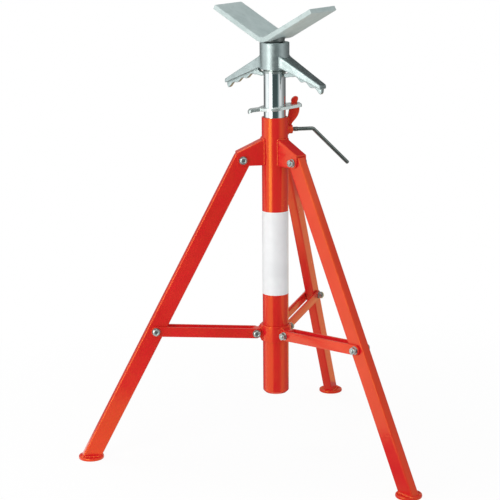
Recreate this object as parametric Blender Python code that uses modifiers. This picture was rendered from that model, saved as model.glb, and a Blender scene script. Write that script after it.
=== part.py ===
"""Folding tripod pipe stand with a V head, at its real size in metres, +Z up.

A red steel tube stands on three hinged legs. Braces of two flat bars each run from
the legs to a collar that slides on the tube, so that the legs fold in together. A
chrome mast slides in the tube, held by a tilting lock plate and by a clamp screw
with a bent handle. A wing nut on the mast lifts the V head on its screw.

Every repeated piece is modelled once in its own frame and placed in a station, an
empty on the tube's axis whose X axis points outward.
"""

import math

import bmesh
import bpy
from mathutils import Matrix, Vector

# Gaps and general values
SEAT_GAP = 0.0003  # between pieces that touch
PIVOT_GAP = 0.0004  # on each side of a leg or lug, between it and what it turns in
BORE_GAP = 0.0003  # round a bolt, a stud or a screw
OVERRUN = 0.002  # how far a cutter runs past what it cuts
FUSE = 0.0002  # how far joined shapes run into each other
WELD = 0.00001
ROUND_STEPS = 48
SMALL_STEPS = 18

# Mast and outer tube
MAST_OD = 0.0422
MAST_WALL = 0.0036
MAST_EXPOSED = 0.0852  # above the tube
MAST_FOOT_ROOM = 0.052  # between its lower end and the tube's swaged end
MAST_CLEARANCE = 0.0011
TUBE_WALL = 0.0032
TUBE_LENGTH = 0.5485
TUBE_BOTTOM_Z = 0.1139
TUBE_SWAGE = 0.0052  # the lower end is drawn in by this, over this height
TUBE_EDGE = 0.0008

# Legs and feet
LEG_AZIMUTHS = (90, 210, 330)  # degrees
LEG_WIDTH = 0.0184
LEG_DEPTH = 0.0340
LEG_WALL = 0.0020
LEG_CORNER = 0.0022
LEG_TOP = 0.0105  # above its pivot
FOOT_CIRCLE_RADIUS = 0.370
FOOT_DIAMETER = 0.050
FOOT_SOLE = 0.0036
FOOT_RIM_HEIGHT = 0.0056
FOOT_RIM_WIDTH = 0.0028
FOOT_EDGE = 0.0008

# Leg brackets
LEG_PIVOT_REACH = 0.03895  # outside the tube's wall
LEG_PIVOT_DROP = 0.0803  # below the tube's top
BRACKET_WALL = 0.0032
BRACKET_EAR = 0.0110  # radius round the pivot
BRACKET_INNER_RISE = 0.0390  # web's top above the pivot, at the tube
BRACKET_OUTER_RISE = 0.0157  # and at its outer end
BRACKET_BEND = 0.0014
WEB_SEAT_GAP = 0.0004  # between the web and the leg's chamfered end

# Braces and collar
LEG_BRACE_DISTANCE = 0.3731  # down the leg, from its pivot to the brace's
BRACE_RISE = 0.0149  # from the collar's pivot up to the leg's
BAR_WIDTH = 0.0194
BAR_THICKNESS = 0.0040
COLLAR_CLEARANCE = 0.00035
COLLAR_WALL = 0.0039
COLLAR_ABOVE = 0.0243  # above its pivots
COLLAR_BELOW = 0.0169
COLLAR_EDGE = 0.0014
LUG_REACH = 0.0111
LUG_RADIUS = 0.0092
LUG_ROOT_SHARE = 0.3  # of the collar's wall, how far a lug runs into it

# Bolts
BOLT_DIAMETER = 0.0080
BOLT_HEX = 0.0130  # across flats
BOLT_HEAD_HEIGHT = 0.0052
BOLT_NUT_HEIGHT = 0.0064
BOLT_TAIL = 0.0022
WASHER_DIAMETER = 0.0152
WASHER_THICKNESS = 0.0014

# Clamp screw
CLAMP_AZIMUTH = 30  # degrees, opposite the second leg
CLAMP_DROP = 0.0249  # below the tube's top
BOSS_DIAMETER = 0.0170
BOSS_REACH = 0.0089  # outside the tube's wall
BOSS_EDGE = 0.0010
STUD_DIAMETER = 0.0094
STUD_SHOWN = 0.0012
LEVER_DIAMETER = 0.0074
LEVER_ROOT = 0.0405  # from the boss to the bend
LEVER_ARM = 0.0992
LEVER_DROP_ANGLE = 45.2  # degrees
LEVER_BEND_RADIUS = 0.0075
LEVER_BEND_STEPS = 5

# Latch hook: a plate that stands on the tube's wall
HOOK_THICKNESS = 0.0062
HOOK_REACH = 0.0226
HOOK_HEIGHT = 0.0555
HOOK_FOOT_RISE = 0.0081  # its foot above the clamp screw's axis
HOOK_SHOULDER_SHARE = 0.642  # of its height, where the lock plate rests
HOOK_LOWER_SHARES = (
    (0.00, 0.30), (0.00, 0.00), (0.32, 0.00), (0.36, 0.08), (0.48, 0.13),
    (0.68, 0.22), (0.86, 0.33), (0.97, 0.45), (1.00, 0.56),
)
HOOK_SHOULDER_OUT_SHARE = 0.985
HOOK_NECK_OUT_SHARE = 0.83
HOOK_NECK_IN_SHARE = 0.28
HOOK_LOBE_SHARES = (
    (0.80, 0.70), (0.79, 0.80), (0.86, 0.86), (0.885, 0.93), (0.84, 0.98),
    (0.70, 1.00), (0.52, 0.985), (0.36, 0.93), (0.28, 0.865), (0.31, 0.80),
    (0.30, 0.70),
)
HOOK_INNER_SHARES = ((0.17, 0.595), (0.09, 0.50), (0.03, 0.36))

# Lock plate
LATCH_THICKNESS = 0.0060
LATCH_TILT = 5.1  # degrees at rest, jammed on the mast
LATCH_BORE_GAP = 0.0008
LATCH_RING_WALL = 0.0088
LATCH_HEEL = 0.0032  # beyond the shoulder's outer end
LATCH_HEEL_HALF_WIDTH = 0.0165
LATCH_HEEL_CORNER = 0.0060
LATCH_TAB_REACH = 0.0215  # beyond the ring
LATCH_TAB_HALF_WIDTH = 0.0085
LATCH_LIP_LENGTH = 0.0042
LATCH_LIP_DROP = 0.0030
LATCH_SLOT_GAP = 0.0012
LATCH_CORNER_STEPS = 5
LATCH_RING_ANGLES = (62, 158)  # degrees, where the ring's outline starts and ends
LATCH_HEEL_ANGLE = 75
LATCH_TAB_SHARES = (1.1, 0.125, 0.25, 0.75)  # root's width, its run, tip's run, its width
LIP_SHARES = (1.6, 1.5)  # its root's length, its width

# Wing nut, thrust washer and head screw
THRUST_HEIGHT = 0.0060
THRUST_OVERHANG = 0.0013  # its rim outside the mast's
SCREW_CLEARANCE = 0.0016  # inside the mast
SCREW_LENGTH = 0.1610
SCREW_TIP = 0.0025
NUT_WALL = 0.0122
NUT_HEIGHT = 0.0508
NUT_EDGE = 0.0012
WING_AZIMUTH = -14  # degrees
WING_REACH = 0.1085
WING_ROOT_WIDTH = 0.0350
WING_TIP_WIDTH = 0.0222
WING_EDGE = 0.0016
WING_RIB_WIDTH = 0.0090
WING_RIB_DEPTHS = (0.0088, 0.0088, 0.0088, 0.0114)  # of the bumps, below the wing
WING_SCALLOP = 0.0046
WING_TOP_SHARES = (
    (0.208, 0.505), (0.9816, -0.459), (1.0, -0.504), (0.998, -0.575), (0.9816, -0.622),
)
WING_ROOT_SHARE = (0.208, 0.072)
WING_BUMP_SHARES = (0.369, 0.562, 0.756, 0.949)  # of the reach
WING_RIB_START_SHARE = 0.325
WING_RIB_END_SHARE = 0.992
WING_SCALLOP_STEPS = 8
WING_HOOK_SHARES = ((0.40, 0.25), (0.80, 0.9))  # run to the rib's end, of the scallop
WING_EDGE_SHARES = (1, 1)  # how far the rib runs up into the wing, at its end and start
WING_LOBE_SHARES = (  # the rib's inner end, curled in under the nut
    (0.304, -0.091), (0.267, -0.130), (0.235, -0.141), (0.2175, -0.177),
    (0.2138, -0.228), (0.2267, -0.271), (0.258, -0.289), (0.304, -0.282),
)

# V head
NECK_GAP = 0.0012  # above the nut
NECK_HEIGHT = 0.0021  # under the middle of the bend
NECK_SHOULDER = 0.0038  # wider than the screw
NECK_GROOVE_HEIGHT = 0.0012
HEAD_AZIMUTH = -14  # degrees, of the arms
ARM_LENGTH = 0.1212
ARM_SLOPE = 29.4  # degrees
ARM_WIDTH = 0.0895  # along the pipe
PLATE_THICKNESS = 0.0093
PLATE_BEND = 0.0200
PLATE_EDGE = 0.0010
PLATE_BEND_STEPS = 8

# Worked out from the sizes above
TUBE_BORE = MAST_OD / 2 + MAST_CLEARANCE
TUBE_RADIUS = TUBE_BORE + TUBE_WALL
TUBE_TOP_Z = TUBE_BOTTOM_Z + TUBE_LENGTH
MAST_TOP_Z = TUBE_TOP_Z + MAST_EXPOSED
MAST_BOTTOM_Z = TUBE_BOTTOM_Z + TUBE_SWAGE + MAST_FOOT_ROOM
MAST_BORE = MAST_OD / 2 - MAST_WALL
BOLT_RADIUS = BOLT_DIAMETER / 2
BOLT_BORE = BOLT_RADIUS + BORE_GAP

LEG_PIVOT = Vector((TUBE_RADIUS + LEG_PIVOT_REACH, 0, TUBE_TOP_Z - LEG_PIVOT_DROP))
LEG_FOOT = Vector((FOOT_CIRCLE_RADIUS, 0, FOOT_SOLE + SEAT_GAP))
LEG_AXIS = (LEG_FOOT - LEG_PIVOT).normalized()
LEG_LEAN = math.atan2(LEG_AXIS.x, -LEG_AXIS.z)
BRACE_PIVOT = LEG_PIVOT + LEG_AXIS * LEG_BRACE_DISTANCE

COLLAR_BORE = TUBE_RADIUS + COLLAR_CLEARANCE
COLLAR_RADIUS = COLLAR_BORE + COLLAR_WALL
COLLAR_PIVOT = Vector((COLLAR_RADIUS + LUG_REACH, 0, BRACE_PIVOT.z - BRACE_RISE))
BRACE_SPAN = BRACE_PIVOT - COLLAR_PIVOT
BRACE_LENGTH = BRACE_SPAN.length
BRACE_ANGLE = math.atan2(BRACE_SPAN.z, BRACE_SPAN.x)

EAR_INNER = LEG_WIDTH / 2 + PIVOT_GAP  # the bars and the bracket's flanges start here
BAR_OUTER = EAR_INNER + BAR_THICKNESS
FLANGE_OUTER = EAR_INNER + BRACKET_WALL

CLAMP_Z = TUBE_TOP_Z - CLAMP_DROP
BOSS_FACE = TUBE_RADIUS + BOSS_REACH
STUD_INNER = MAST_OD / 2 + SEAT_GAP
STUD_OUTER = BOSS_FACE + STUD_SHOWN

SCREW_RADIUS = MAST_BORE - SCREW_CLEARANCE
NUT_BORE = SCREW_RADIUS + BORE_GAP
NUT_RADIUS = NUT_BORE + NUT_WALL
NUT_BOTTOM_Z = MAST_TOP_Z + SEAT_GAP + THRUST_HEIGHT + SEAT_GAP
NUT_TOP_Z = NUT_BOTTOM_Z + NUT_HEIGHT
NECK_BOTTOM_Z = NUT_TOP_Z + NECK_GAP
PLATE_BOTTOM_Z = NECK_BOTTOM_Z + NECK_HEIGHT + SEAT_GAP

LATCH_BORE = MAST_OD / 2 + LATCH_BORE_GAP
LATCH_RING = LATCH_BORE + LATCH_RING_WALL


def clear_scene():
    for obj in list(bpy.data.objects):
        bpy.data.objects.remove(obj, do_unlink=True)


def new_collection(name):
    collection = bpy.data.collections.new(name)
    bpy.context.scene.collection.children.link(collection)
    return collection


def new_material(name, colour, roughness, metallic):
    material = bpy.data.materials.new(name)
    material.use_nodes = True
    shader = material.node_tree.nodes["Principled BSDF"]
    shader.inputs["Base Color"].default_value = (*colour, 1)
    shader.inputs["Roughness"].default_value = roughness
    shader.inputs["Metallic"].default_value = metallic
    material.diffuse_color = (*colour, 1)
    return material


def new_empty(name, parent=None, location=(0, 0, 0), azimuth=0):
    empty = bpy.data.objects.new(name, None)
    PARTS.objects.link(empty)
    empty.empty_display_size = MAST_OD
    empty.parent = parent
    empty.location = location
    empty.rotation_euler.z = math.radians(azimuth)
    return empty


def edit_mesh(mesh, work):
    """Run work on the mesh as a bmesh, with its normals recalculated afterwards."""
    shape = bmesh.new()
    shape.from_mesh(mesh)
    work(shape)
    bmesh.ops.recalc_face_normals(shape, faces=shape.faces)
    shape.to_mesh(mesh)
    shape.free()
    return mesh


def evaluated_mesh(obj):
    bpy.context.view_layer.update()
    graph = bpy.context.evaluated_depsgraph_get()
    return bpy.data.meshes.new_from_object(obj.evaluated_get(graph))


def prism(name, outline, thickness, upright=True):
    """A flat outline pushed out to both sides. An upright one stands in the XZ plane."""
    curve = bpy.data.curves.new(name, "CURVE")
    curve.dimensions = "2D"
    curve.fill_mode = "BOTH"
    curve.extrude = thickness / 2
    spline = curve.splines.new("POLY")
    spline.points.add(len(outline) - 1)
    for point, (across, along) in zip(spline.points, outline):
        point.co = (across, along, 0, 1)
    spline.use_cyclic_u = True
    guide = bpy.data.objects.new(name, curve)
    HELPERS.objects.link(guide)
    mesh = evaluated_mesh(guide)
    bpy.data.objects.remove(guide)

    def close(shape):
        bmesh.ops.remove_doubles(shape, verts=shape.verts, dist=WELD)
        if upright:
            bmesh.ops.rotate(shape, verts=shape.verts, matrix=Matrix.Rotation(math.pi / 2, 3, "X"))

    return edit_mesh(mesh, close)


def cylinder(name, radius, start, end, steps=SMALL_STEPS, hexagon=False):
    """A cylinder or a hexagonal bar of this inner radius between two points."""
    start, end = Vector(start), Vector(end)
    axis = end - start
    turn = axis.to_track_quat("Z", "Y").to_matrix().to_4x4()
    sides = 6 if hexagon else steps
    mesh = bpy.data.meshes.new(name)
    shape = bmesh.new()
    bmesh.ops.create_cone(
        shape,
        cap_ends=True,
        segments=sides,
        radius1=radius / math.cos(math.pi / sides) if hexagon else radius,
        radius2=radius / math.cos(math.pi / sides) if hexagon else radius,
        depth=axis.length,
        matrix=Matrix.Translation((start + end) / 2) @ turn,
    )
    shape.to_mesh(mesh)
    shape.free()
    return mesh


def turned(name, outline, closed=False, steps=ROUND_STEPS):
    """A profile of (radius, height) points turned about Z, outer side first, downward."""
    points = [(radius, 0, height) for radius, height in outline]
    edges = [(i, i + 1) for i in range(len(points) - 1)]
    if closed:
        edges.append((len(points) - 1, 0))
    mesh = bpy.data.meshes.new(name)
    mesh.from_pydata(points, edges, [])
    obj = helper(name, mesh)
    screw = obj.modifiers.new("Turn", "SCREW")
    screw.axis = "Z"
    screw.steps = screw.render_steps = steps
    screw.use_merge_vertices = True
    screw.merge_threshold = WELD
    result = evaluated_mesh(obj)
    bpy.data.objects.remove(obj)
    return result


def ring(name, outer, bore, top, bottom, edge, steps=ROUND_STEPS):
    """A turned ring with both outer rims chamfered."""
    return turned(
        name,
        [
            (outer - edge, top),
            (outer, top - edge),
            (outer, bottom + edge),
            (outer - edge, bottom),
            (bore, bottom),
            (bore, top),
        ],
        closed=True,
        steps=steps,
    )


def helper(name, mesh, location=(0, 0, 0), azimuth=0):
    obj = bpy.data.objects.new(name, mesh)
    HELPERS.objects.link(obj)
    obj.hide_render = True
    obj.display_type = "WIRE"
    obj.location = location
    obj.rotation_euler.z = azimuth
    return obj


def rounded(mesh, width, segments, chosen):
    """Bevel the edges that chosen(edge) picks."""

    def work(shape):
        edges = [edge for edge in shape.edges if chosen(edge)]
        bmesh.ops.bevel(
            shape,
            geom=edges,
            offset=width,
            offset_type="OFFSET",
            segments=segments,
            profile=0.5,
            affect="EDGES",
        )

    return edit_mesh(mesh, work)


def corner_edge(edge):
    """True for an edge where two faces meet at more than 60 degrees."""
    return len(edge.link_faces) == 2 and edge.calc_face_angle(0) > math.radians(60)


def carved(mesh, cuts=(), joins=()):
    """The mesh with the joins added and the cuts taken out, as a new mesh."""
    obj = helper(mesh.name, mesh)
    others = []
    for operation, shapes in (("UNION", joins), ("DIFFERENCE", cuts)):
        for other in shapes:
            if not isinstance(other, bpy.types.Object):
                other = helper(other.name, other)
            others.append(other)
            boolean = obj.modifiers.new(other.name, "BOOLEAN")
            boolean.operation = operation
            boolean.solver = "EXACT"
            boolean.object = other
    result = evaluated_mesh(obj)
    for other in others + [obj]:
        bpy.data.objects.remove(other)
    return result


def part(name, mesh, material, parent, location=(0, 0, 0), lean=0, azimuth=0):
    """Place a piece. Lean turns its X axis up, azimuth turns it about Z, in radians."""
    mesh.name = name.rstrip("_0123456789ab") or name
    mesh.materials.clear()
    mesh.materials.append(material)
    mesh.shade_smooth()
    mesh.set_sharp_from_angle(angle=math.radians(32))
    obj = bpy.data.objects.new(name, mesh)
    PARTS.objects.link(obj)
    obj.parent = parent
    obj.location = location
    obj.rotation_euler = (0, -lean, azimuth)
    return obj


def arc(centre, radius, start, end, steps):
    """Points on an arc, with angles in degrees."""
    return [
        (
            centre[0] + radius * math.cos(math.radians(start + (end - start) * i / steps)),
            centre[1] + radius * math.sin(math.radians(start + (end - start) * i / steps)),
        )
        for i in range(steps + 1)
    ]


def across(radius, place, half):
    """A cylinder along Y through a point, for a pivot's bore."""
    return cylinder(
        "bore", radius, (place.x, -half, place.z), (place.x, half, place.z)
    )


def outer_tube_mesh():
    top, bottom = TUBE_TOP_Z, TUBE_BOTTOM_Z
    body = turned(
        "outer_tube",
        [
            (TUBE_RADIUS - TUBE_EDGE, top),
            (TUBE_RADIUS, top - TUBE_EDGE),
            (TUBE_RADIUS, bottom + TUBE_SWAGE),
            (TUBE_RADIUS - TUBE_SWAGE, bottom),
            (TUBE_BORE - TUBE_SWAGE, bottom),
            (TUBE_BORE, bottom + TUBE_SWAGE + TUBE_WALL / 2),
            (TUBE_BORE, top - TUBE_EDGE),
            (TUBE_BORE + TUBE_EDGE, top),
        ],
        closed=True,
    )
    angle = math.radians(CLAMP_AZIMUTH)
    outward = Vector((math.cos(angle), math.sin(angle), 0))
    level = Vector((0, 0, CLAMP_Z))
    hole = cylinder(
        "clamp_hole",
        STUD_DIAMETER / 2 + BORE_GAP,
        level + outward * (TUBE_BORE - OVERRUN),
        level + outward * (TUBE_RADIUS + OVERRUN),
    )
    return carved(body, cuts=[hole])


def tube_space(bottom, top):
    """The tube with its seat gap, to cut from what is welded on it."""
    return cylinder(
        "tube_space", TUBE_RADIUS + SEAT_GAP, (0, 0, bottom), (0, 0, top), ROUND_STEPS
    )


def web_line(x, drop):
    """Height of the bracket's web at x, measured square from its top face."""
    run = LEG_PIVOT_REACH + BRACKET_EAR
    slope = (BRACKET_OUTER_RISE - BRACKET_INNER_RISE) / run
    return (
        LEG_PIVOT.z
        + BRACKET_INNER_RISE
        + slope * (x - TUBE_RADIUS)
        - drop * math.hypot(1, slope)
    )


def leg_bracket_mesh():
    inner = TUBE_RADIUS / 2
    bottom = LEG_PIVOT.z - BRACKET_EAR
    end = LEG_PIVOT.x + BRACKET_EAR
    outline = [(inner, bottom)]
    outline += arc((LEG_PIVOT.x, LEG_PIVOT.z), BRACKET_EAR, -90, 0, 6)
    outline += [(end, web_line(end, 0)), (inner, web_line(inner, 0))]
    body = prism("leg_bracket", outline, 2 * FLANGE_OUTER)
    body = rounded(
        body,
        BRACKET_BEND,
        2,
        lambda edge: corner_edge(edge)
        and all(
            vertex.co.z > web_line(vertex.co.x, WELD) for vertex in edge.verts
        )
        and abs(edge.verts[0].co.y - edge.verts[1].co.y) < WELD,
    )
    far = end + OVERRUN
    near = inner - OVERRUN
    channel = prism(
        "channel",
        [
            (near, bottom - OVERRUN),
            (far, bottom - OVERRUN),
            (far, web_line(far, BRACKET_WALL)),
            (near, web_line(near, BRACKET_WALL)),
        ],
        2 * EAR_INNER,
    )
    return carved(
        body,
        cuts=[
            channel,
            tube_space(bottom - OVERRUN, web_line(inner, 0) + OVERRUN),
            across(BOLT_BORE, LEG_PIVOT, FLANGE_OUTER + OVERRUN),
        ],
    )


def in_leg(x, z):
    """A point of the leg's station, in the leaning leg's own frame."""
    offset = Vector((x, 0, z)) - LEG_PIVOT
    out = Vector((math.cos(LEG_LEAN), 0, math.sin(LEG_LEAN)))
    up = Vector((-math.sin(LEG_LEAN), 0, math.cos(LEG_LEAN)))
    return offset.dot(out), offset.dot(up)


def leg_mesh():
    """The leg hangs down -Z from its pivot, with its outer face at +X."""
    half = LEG_DEPTH / 2

    def at_floor(x):
        return (LEG_FOOT.z - LEG_PIVOT.z - x * math.sin(LEG_LEAN)) / math.cos(LEG_LEAN)

    # The chamfer follows the underside of the bracket's web, where the leg stops.
    x0, x1 = TUBE_RADIUS, LEG_PIVOT.x + BRACKET_EAR
    seat = BRACKET_WALL + WEB_SEAT_GAP
    ax, az = in_leg(x0, web_line(x0, seat))
    bx, bz = in_leg(x1, web_line(x1, seat))
    slope = (bz - az) / (bx - ax)
    chamfer_x = ax + (LEG_TOP - az) / slope
    outer_top = az + slope * (half - ax)
    body = prism(
        "leg",
        [
            (-half, LEG_TOP),
            (-half, at_floor(-half)),
            (half, at_floor(half)),
            (half, outer_top),
            (chamfer_x, LEG_TOP),
        ],
        LEG_WIDTH,
    )
    body = rounded(
        body,
        LEG_CORNER,
        3,
        lambda edge: edge.calc_length() > LEG_BRACE_DISTANCE and corner_edge(edge),
    )
    inside = prism(
        "leg_inside",
        [
            (-half + LEG_WALL, LEG_TOP + OVERRUN),
            (-half + LEG_WALL, at_floor(half) - OVERRUN),
            (half - LEG_WALL, at_floor(half) - OVERRUN),
            (half - LEG_WALL, LEG_TOP + OVERRUN),
        ],
        LEG_WIDTH - 2 * LEG_WALL,
    )
    reach = LEG_WIDTH / 2 + OVERRUN
    return carved(
        body,
        cuts=[
            inside,
            across(BOLT_BORE, Vector(), reach),
            across(BOLT_BORE, Vector((0, 0, -LEG_BRACE_DISTANCE)), reach),
        ],
    )


def foot_mesh():
    radius = FOOT_DIAMETER / 2
    return turned(
        "foot",
        [
            (0, FOOT_SOLE),
            (radius - FOOT_RIM_WIDTH - (FOOT_RIM_HEIGHT - FOOT_SOLE), FOOT_SOLE),
            (radius - FOOT_RIM_WIDTH, FOOT_RIM_HEIGHT),
            (radius - FOOT_EDGE, FOOT_RIM_HEIGHT),
            (radius, FOOT_RIM_HEIGHT - FOOT_EDGE),
            (radius, FOOT_EDGE),
            (radius - FOOT_EDGE, 0),
            (0, 0),
        ],
        steps=32,
    )


def collar_mesh():
    """The collar's origin is on the tube's axis, level with its pivots."""
    body = ring(
        "collar", COLLAR_RADIUS, COLLAR_BORE, COLLAR_ABOVE, -COLLAR_BELOW, COLLAR_EDGE
    )
    pivot = COLLAR_PIVOT.x
    root = math.sqrt(COLLAR_RADIUS**2 - (LEG_WIDTH / 2) ** 2) - COLLAR_WALL * LUG_ROOT_SHARE
    outline = [(root, LUG_RADIUS), (root, -LUG_RADIUS)]
    outline += arc((pivot, 0), LUG_RADIUS, -90, 90, 10)
    joins, cuts = [], []
    for azimuth in LEG_AZIMUTHS:
        turn = math.radians(azimuth)
        joins.append(helper("lug", prism("lug", outline, LEG_WIDTH), azimuth=turn))
        bore = across(BOLT_BORE, Vector((pivot, 0, 0)), LEG_WIDTH / 2 + OVERRUN)
        cuts.append(helper("lug_bore", bore, azimuth=turn))
    return carved(body, joins=joins, cuts=cuts)


def bar_mesh():
    """One flat bar of a brace, from the collar's pivot out along +X."""
    half = BAR_WIDTH / 2
    outline = arc((0, 0), half, 90, 270, 10)
    outline += arc((BRACE_LENGTH, 0), half, -90, 90, 10)
    body = prism("brace_bar", outline, BAR_THICKNESS)
    reach = BAR_THICKNESS / 2 + OVERRUN
    return carved(
        body,
        cuts=[
            across(BOLT_BORE, Vector(), reach),
            across(BOLT_BORE, Vector((BRACE_LENGTH, 0, 0)), reach),
        ],
    )


def along_y(name, radius, start, end, steps=SMALL_STEPS, hexagon=False):
    return cylinder(name, radius, (0, start, 0), (0, end, 0), steps, hexagon)


def head_side(face):
    """Washer and hexagonal head that lie on a face at +Y."""
    washer = face + SEAT_GAP
    head = washer + WASHER_THICKNESS
    return [
        along_y("washer", WASHER_DIAMETER / 2, washer, head),
        along_y("head", BOLT_HEX / 2, head - FUSE, head + BOLT_HEAD_HEIGHT, hexagon=True),
    ]


def nut_side(face):
    """Washer and nut that lie on a face at -Y."""
    washer = face + SEAT_GAP
    nut = washer + WASHER_THICKNESS
    return [
        along_y("washer", WASHER_DIAMETER / 2, -nut, -washer),
        along_y("nut", BOLT_HEX / 2, -nut - BOLT_NUT_HEIGHT, -nut + FUSE, hexagon=True),
    ]


def bolt_end(face):
    """How far a bolt's tail stands out on its nut's side."""
    return face + SEAT_GAP + WASHER_THICKNESS + BOLT_NUT_HEIGHT + BOLT_TAIL


def bolt_mesh(face):
    """A bolt along Y with washers and nut, clamped on faces at +face and -face."""
    shank = along_y(
        "bolt", BOLT_RADIUS, -bolt_end(face), face + SEAT_GAP + WASHER_THICKNESS + FUSE
    )
    return carved(shank, joins=head_side(face) + nut_side(face))


def bolt_head_mesh():
    """The brace bolt's head end, as far as the leg's side."""
    shank = along_y(
        "bolt", BOLT_RADIUS, EAR_INNER, BAR_OUTER + SEAT_GAP + WASHER_THICKNESS + FUSE
    )
    return carved(shank, joins=head_side(BAR_OUTER))


def bolt_nut_mesh():
    """The brace bolt's nut end, as far as the leg's side."""
    shank = along_y("bolt", BOLT_RADIUS, -bolt_end(BAR_OUTER), -EAR_INNER)
    return carved(shank, joins=nut_side(BAR_OUTER))


def bolt_shank_mesh():
    """The brace bolt's middle, inside the leg."""
    return along_y("bolt", BOLT_RADIUS, -LEG_WIDTH / 2, LEG_WIDTH / 2)


def hook_point(reach_share, height_share):
    return (
        TUBE_RADIUS + HOOK_REACH * reach_share,
        CLAMP_Z + HOOK_FOOT_RISE + HOOK_HEIGHT * height_share,
    )


HINGE_X, SHOULDER_Z = hook_point(HOOK_SHOULDER_OUT_SHARE, HOOK_SHOULDER_SHARE)
LATCH_HINGE = Vector((HINGE_X, 0, SHOULDER_Z + SEAT_GAP))


def latch_hook_mesh():
    def shoulder(reach_share):
        x, _ = hook_point(reach_share, 0)
        fall = (HINGE_X - x) * math.tan(math.radians(LATCH_TILT))
        return x, SHOULDER_Z - fall

    outline = [hook_point(*shares) for shares in HOOK_LOWER_SHARES]
    outline += [shoulder(HOOK_SHOULDER_OUT_SHARE), shoulder(HOOK_NECK_OUT_SHARE)]
    outline += [hook_point(*shares) for shares in HOOK_LOBE_SHARES]
    outline += [shoulder(HOOK_NECK_IN_SHARE)]
    outline += [hook_point(*shares) for shares in HOOK_INNER_SHARES]
    # The foot runs into the tube's space, which is then cut out of it.
    outline[:2] = [(TUBE_BORE, TUBE_TOP_Z), (TUBE_BORE, outline[1][1])]
    body = prism("latch_hook", outline, HOOK_THICKNESS)
    boss_space = cylinder(
        "boss_space",
        BOSS_DIAMETER / 2 + SEAT_GAP,
        (TUBE_BORE - OVERRUN, 0, CLAMP_Z),
        (BOSS_FACE + OVERRUN, 0, CLAMP_Z),
    )
    return carved(
        body, cuts=[tube_space(CLAMP_Z, TUBE_TOP_Z + OVERRUN), boss_space]
    )


def clamp_boss_mesh():
    """A boss along X, saddled to the tube and bored for the stud."""
    outer = BOSS_DIAMETER / 2
    body = turned(
        "clamp_boss",
        [
            (0, BOSS_FACE),
            (outer - BOSS_EDGE, BOSS_FACE),
            (outer, BOSS_FACE - BOSS_EDGE),
            (outer, TUBE_BORE),
            (0, TUBE_BORE),
        ],
        steps=SMALL_STEPS,
    )

    def lay_down(shape):
        bmesh.ops.rotate(
            shape, verts=shape.verts, matrix=Matrix.Rotation(math.pi / 2, 3, "Y")
        )
        bmesh.ops.translate(shape, verts=shape.verts, vec=(0, 0, CLAMP_Z))

    edit_mesh(body, lay_down)
    bore = cylinder(
        "stud_bore",
        STUD_DIAMETER / 2 + BORE_GAP,
        (TUBE_BORE - OVERRUN, 0, CLAMP_Z),
        (BOSS_FACE + OVERRUN, 0, CLAMP_Z),
    )
    return carved(body, cuts=[tube_space(CLAMP_Z - outer - OVERRUN, CLAMP_Z + outer + OVERRUN), bore])


def clamp_lever_mesh():
    """The bent rod, with its origin on the screw's axis where the stud ends."""
    drop = math.radians(LEVER_DROP_ANGLE)
    bend_x = BOSS_FACE + LEVER_ROOT - STUD_OUTER
    before = LEVER_BEND_RADIUS * math.tan(drop / 2)
    route = [(SEAT_GAP, 0)]
    for i in range(LEVER_BEND_STEPS + 1):
        turn = drop * i / LEVER_BEND_STEPS
        route.append(
            (
                bend_x - before + LEVER_BEND_RADIUS * math.sin(turn),
                -LEVER_BEND_RADIUS * (1 - math.cos(turn)),
            )
        )
    route.append(
        (bend_x + LEVER_ARM * math.cos(drop), -LEVER_ARM * math.sin(drop))
    )
    curve = bpy.data.curves.new("clamp_lever", "CURVE")
    curve.dimensions = "3D"
    curve.bevel_depth = LEVER_DIAMETER / 2
    curve.bevel_resolution = 3
    curve.use_fill_caps = True
    spline = curve.splines.new("POLY")
    spline.points.add(len(route) - 1)
    for point, (x, z) in zip(spline.points, route):
        point.co = (x, 0, z, 1)
    guide = bpy.data.objects.new("clamp_lever", curve)
    HELPERS.objects.link(guide)
    mesh = evaluated_mesh(guide)
    bpy.data.objects.remove(guide)
    return edit_mesh(
        mesh,
        lambda shape: bmesh.ops.remove_doubles(shape, verts=shape.verts, dist=WELD),
    )


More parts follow.
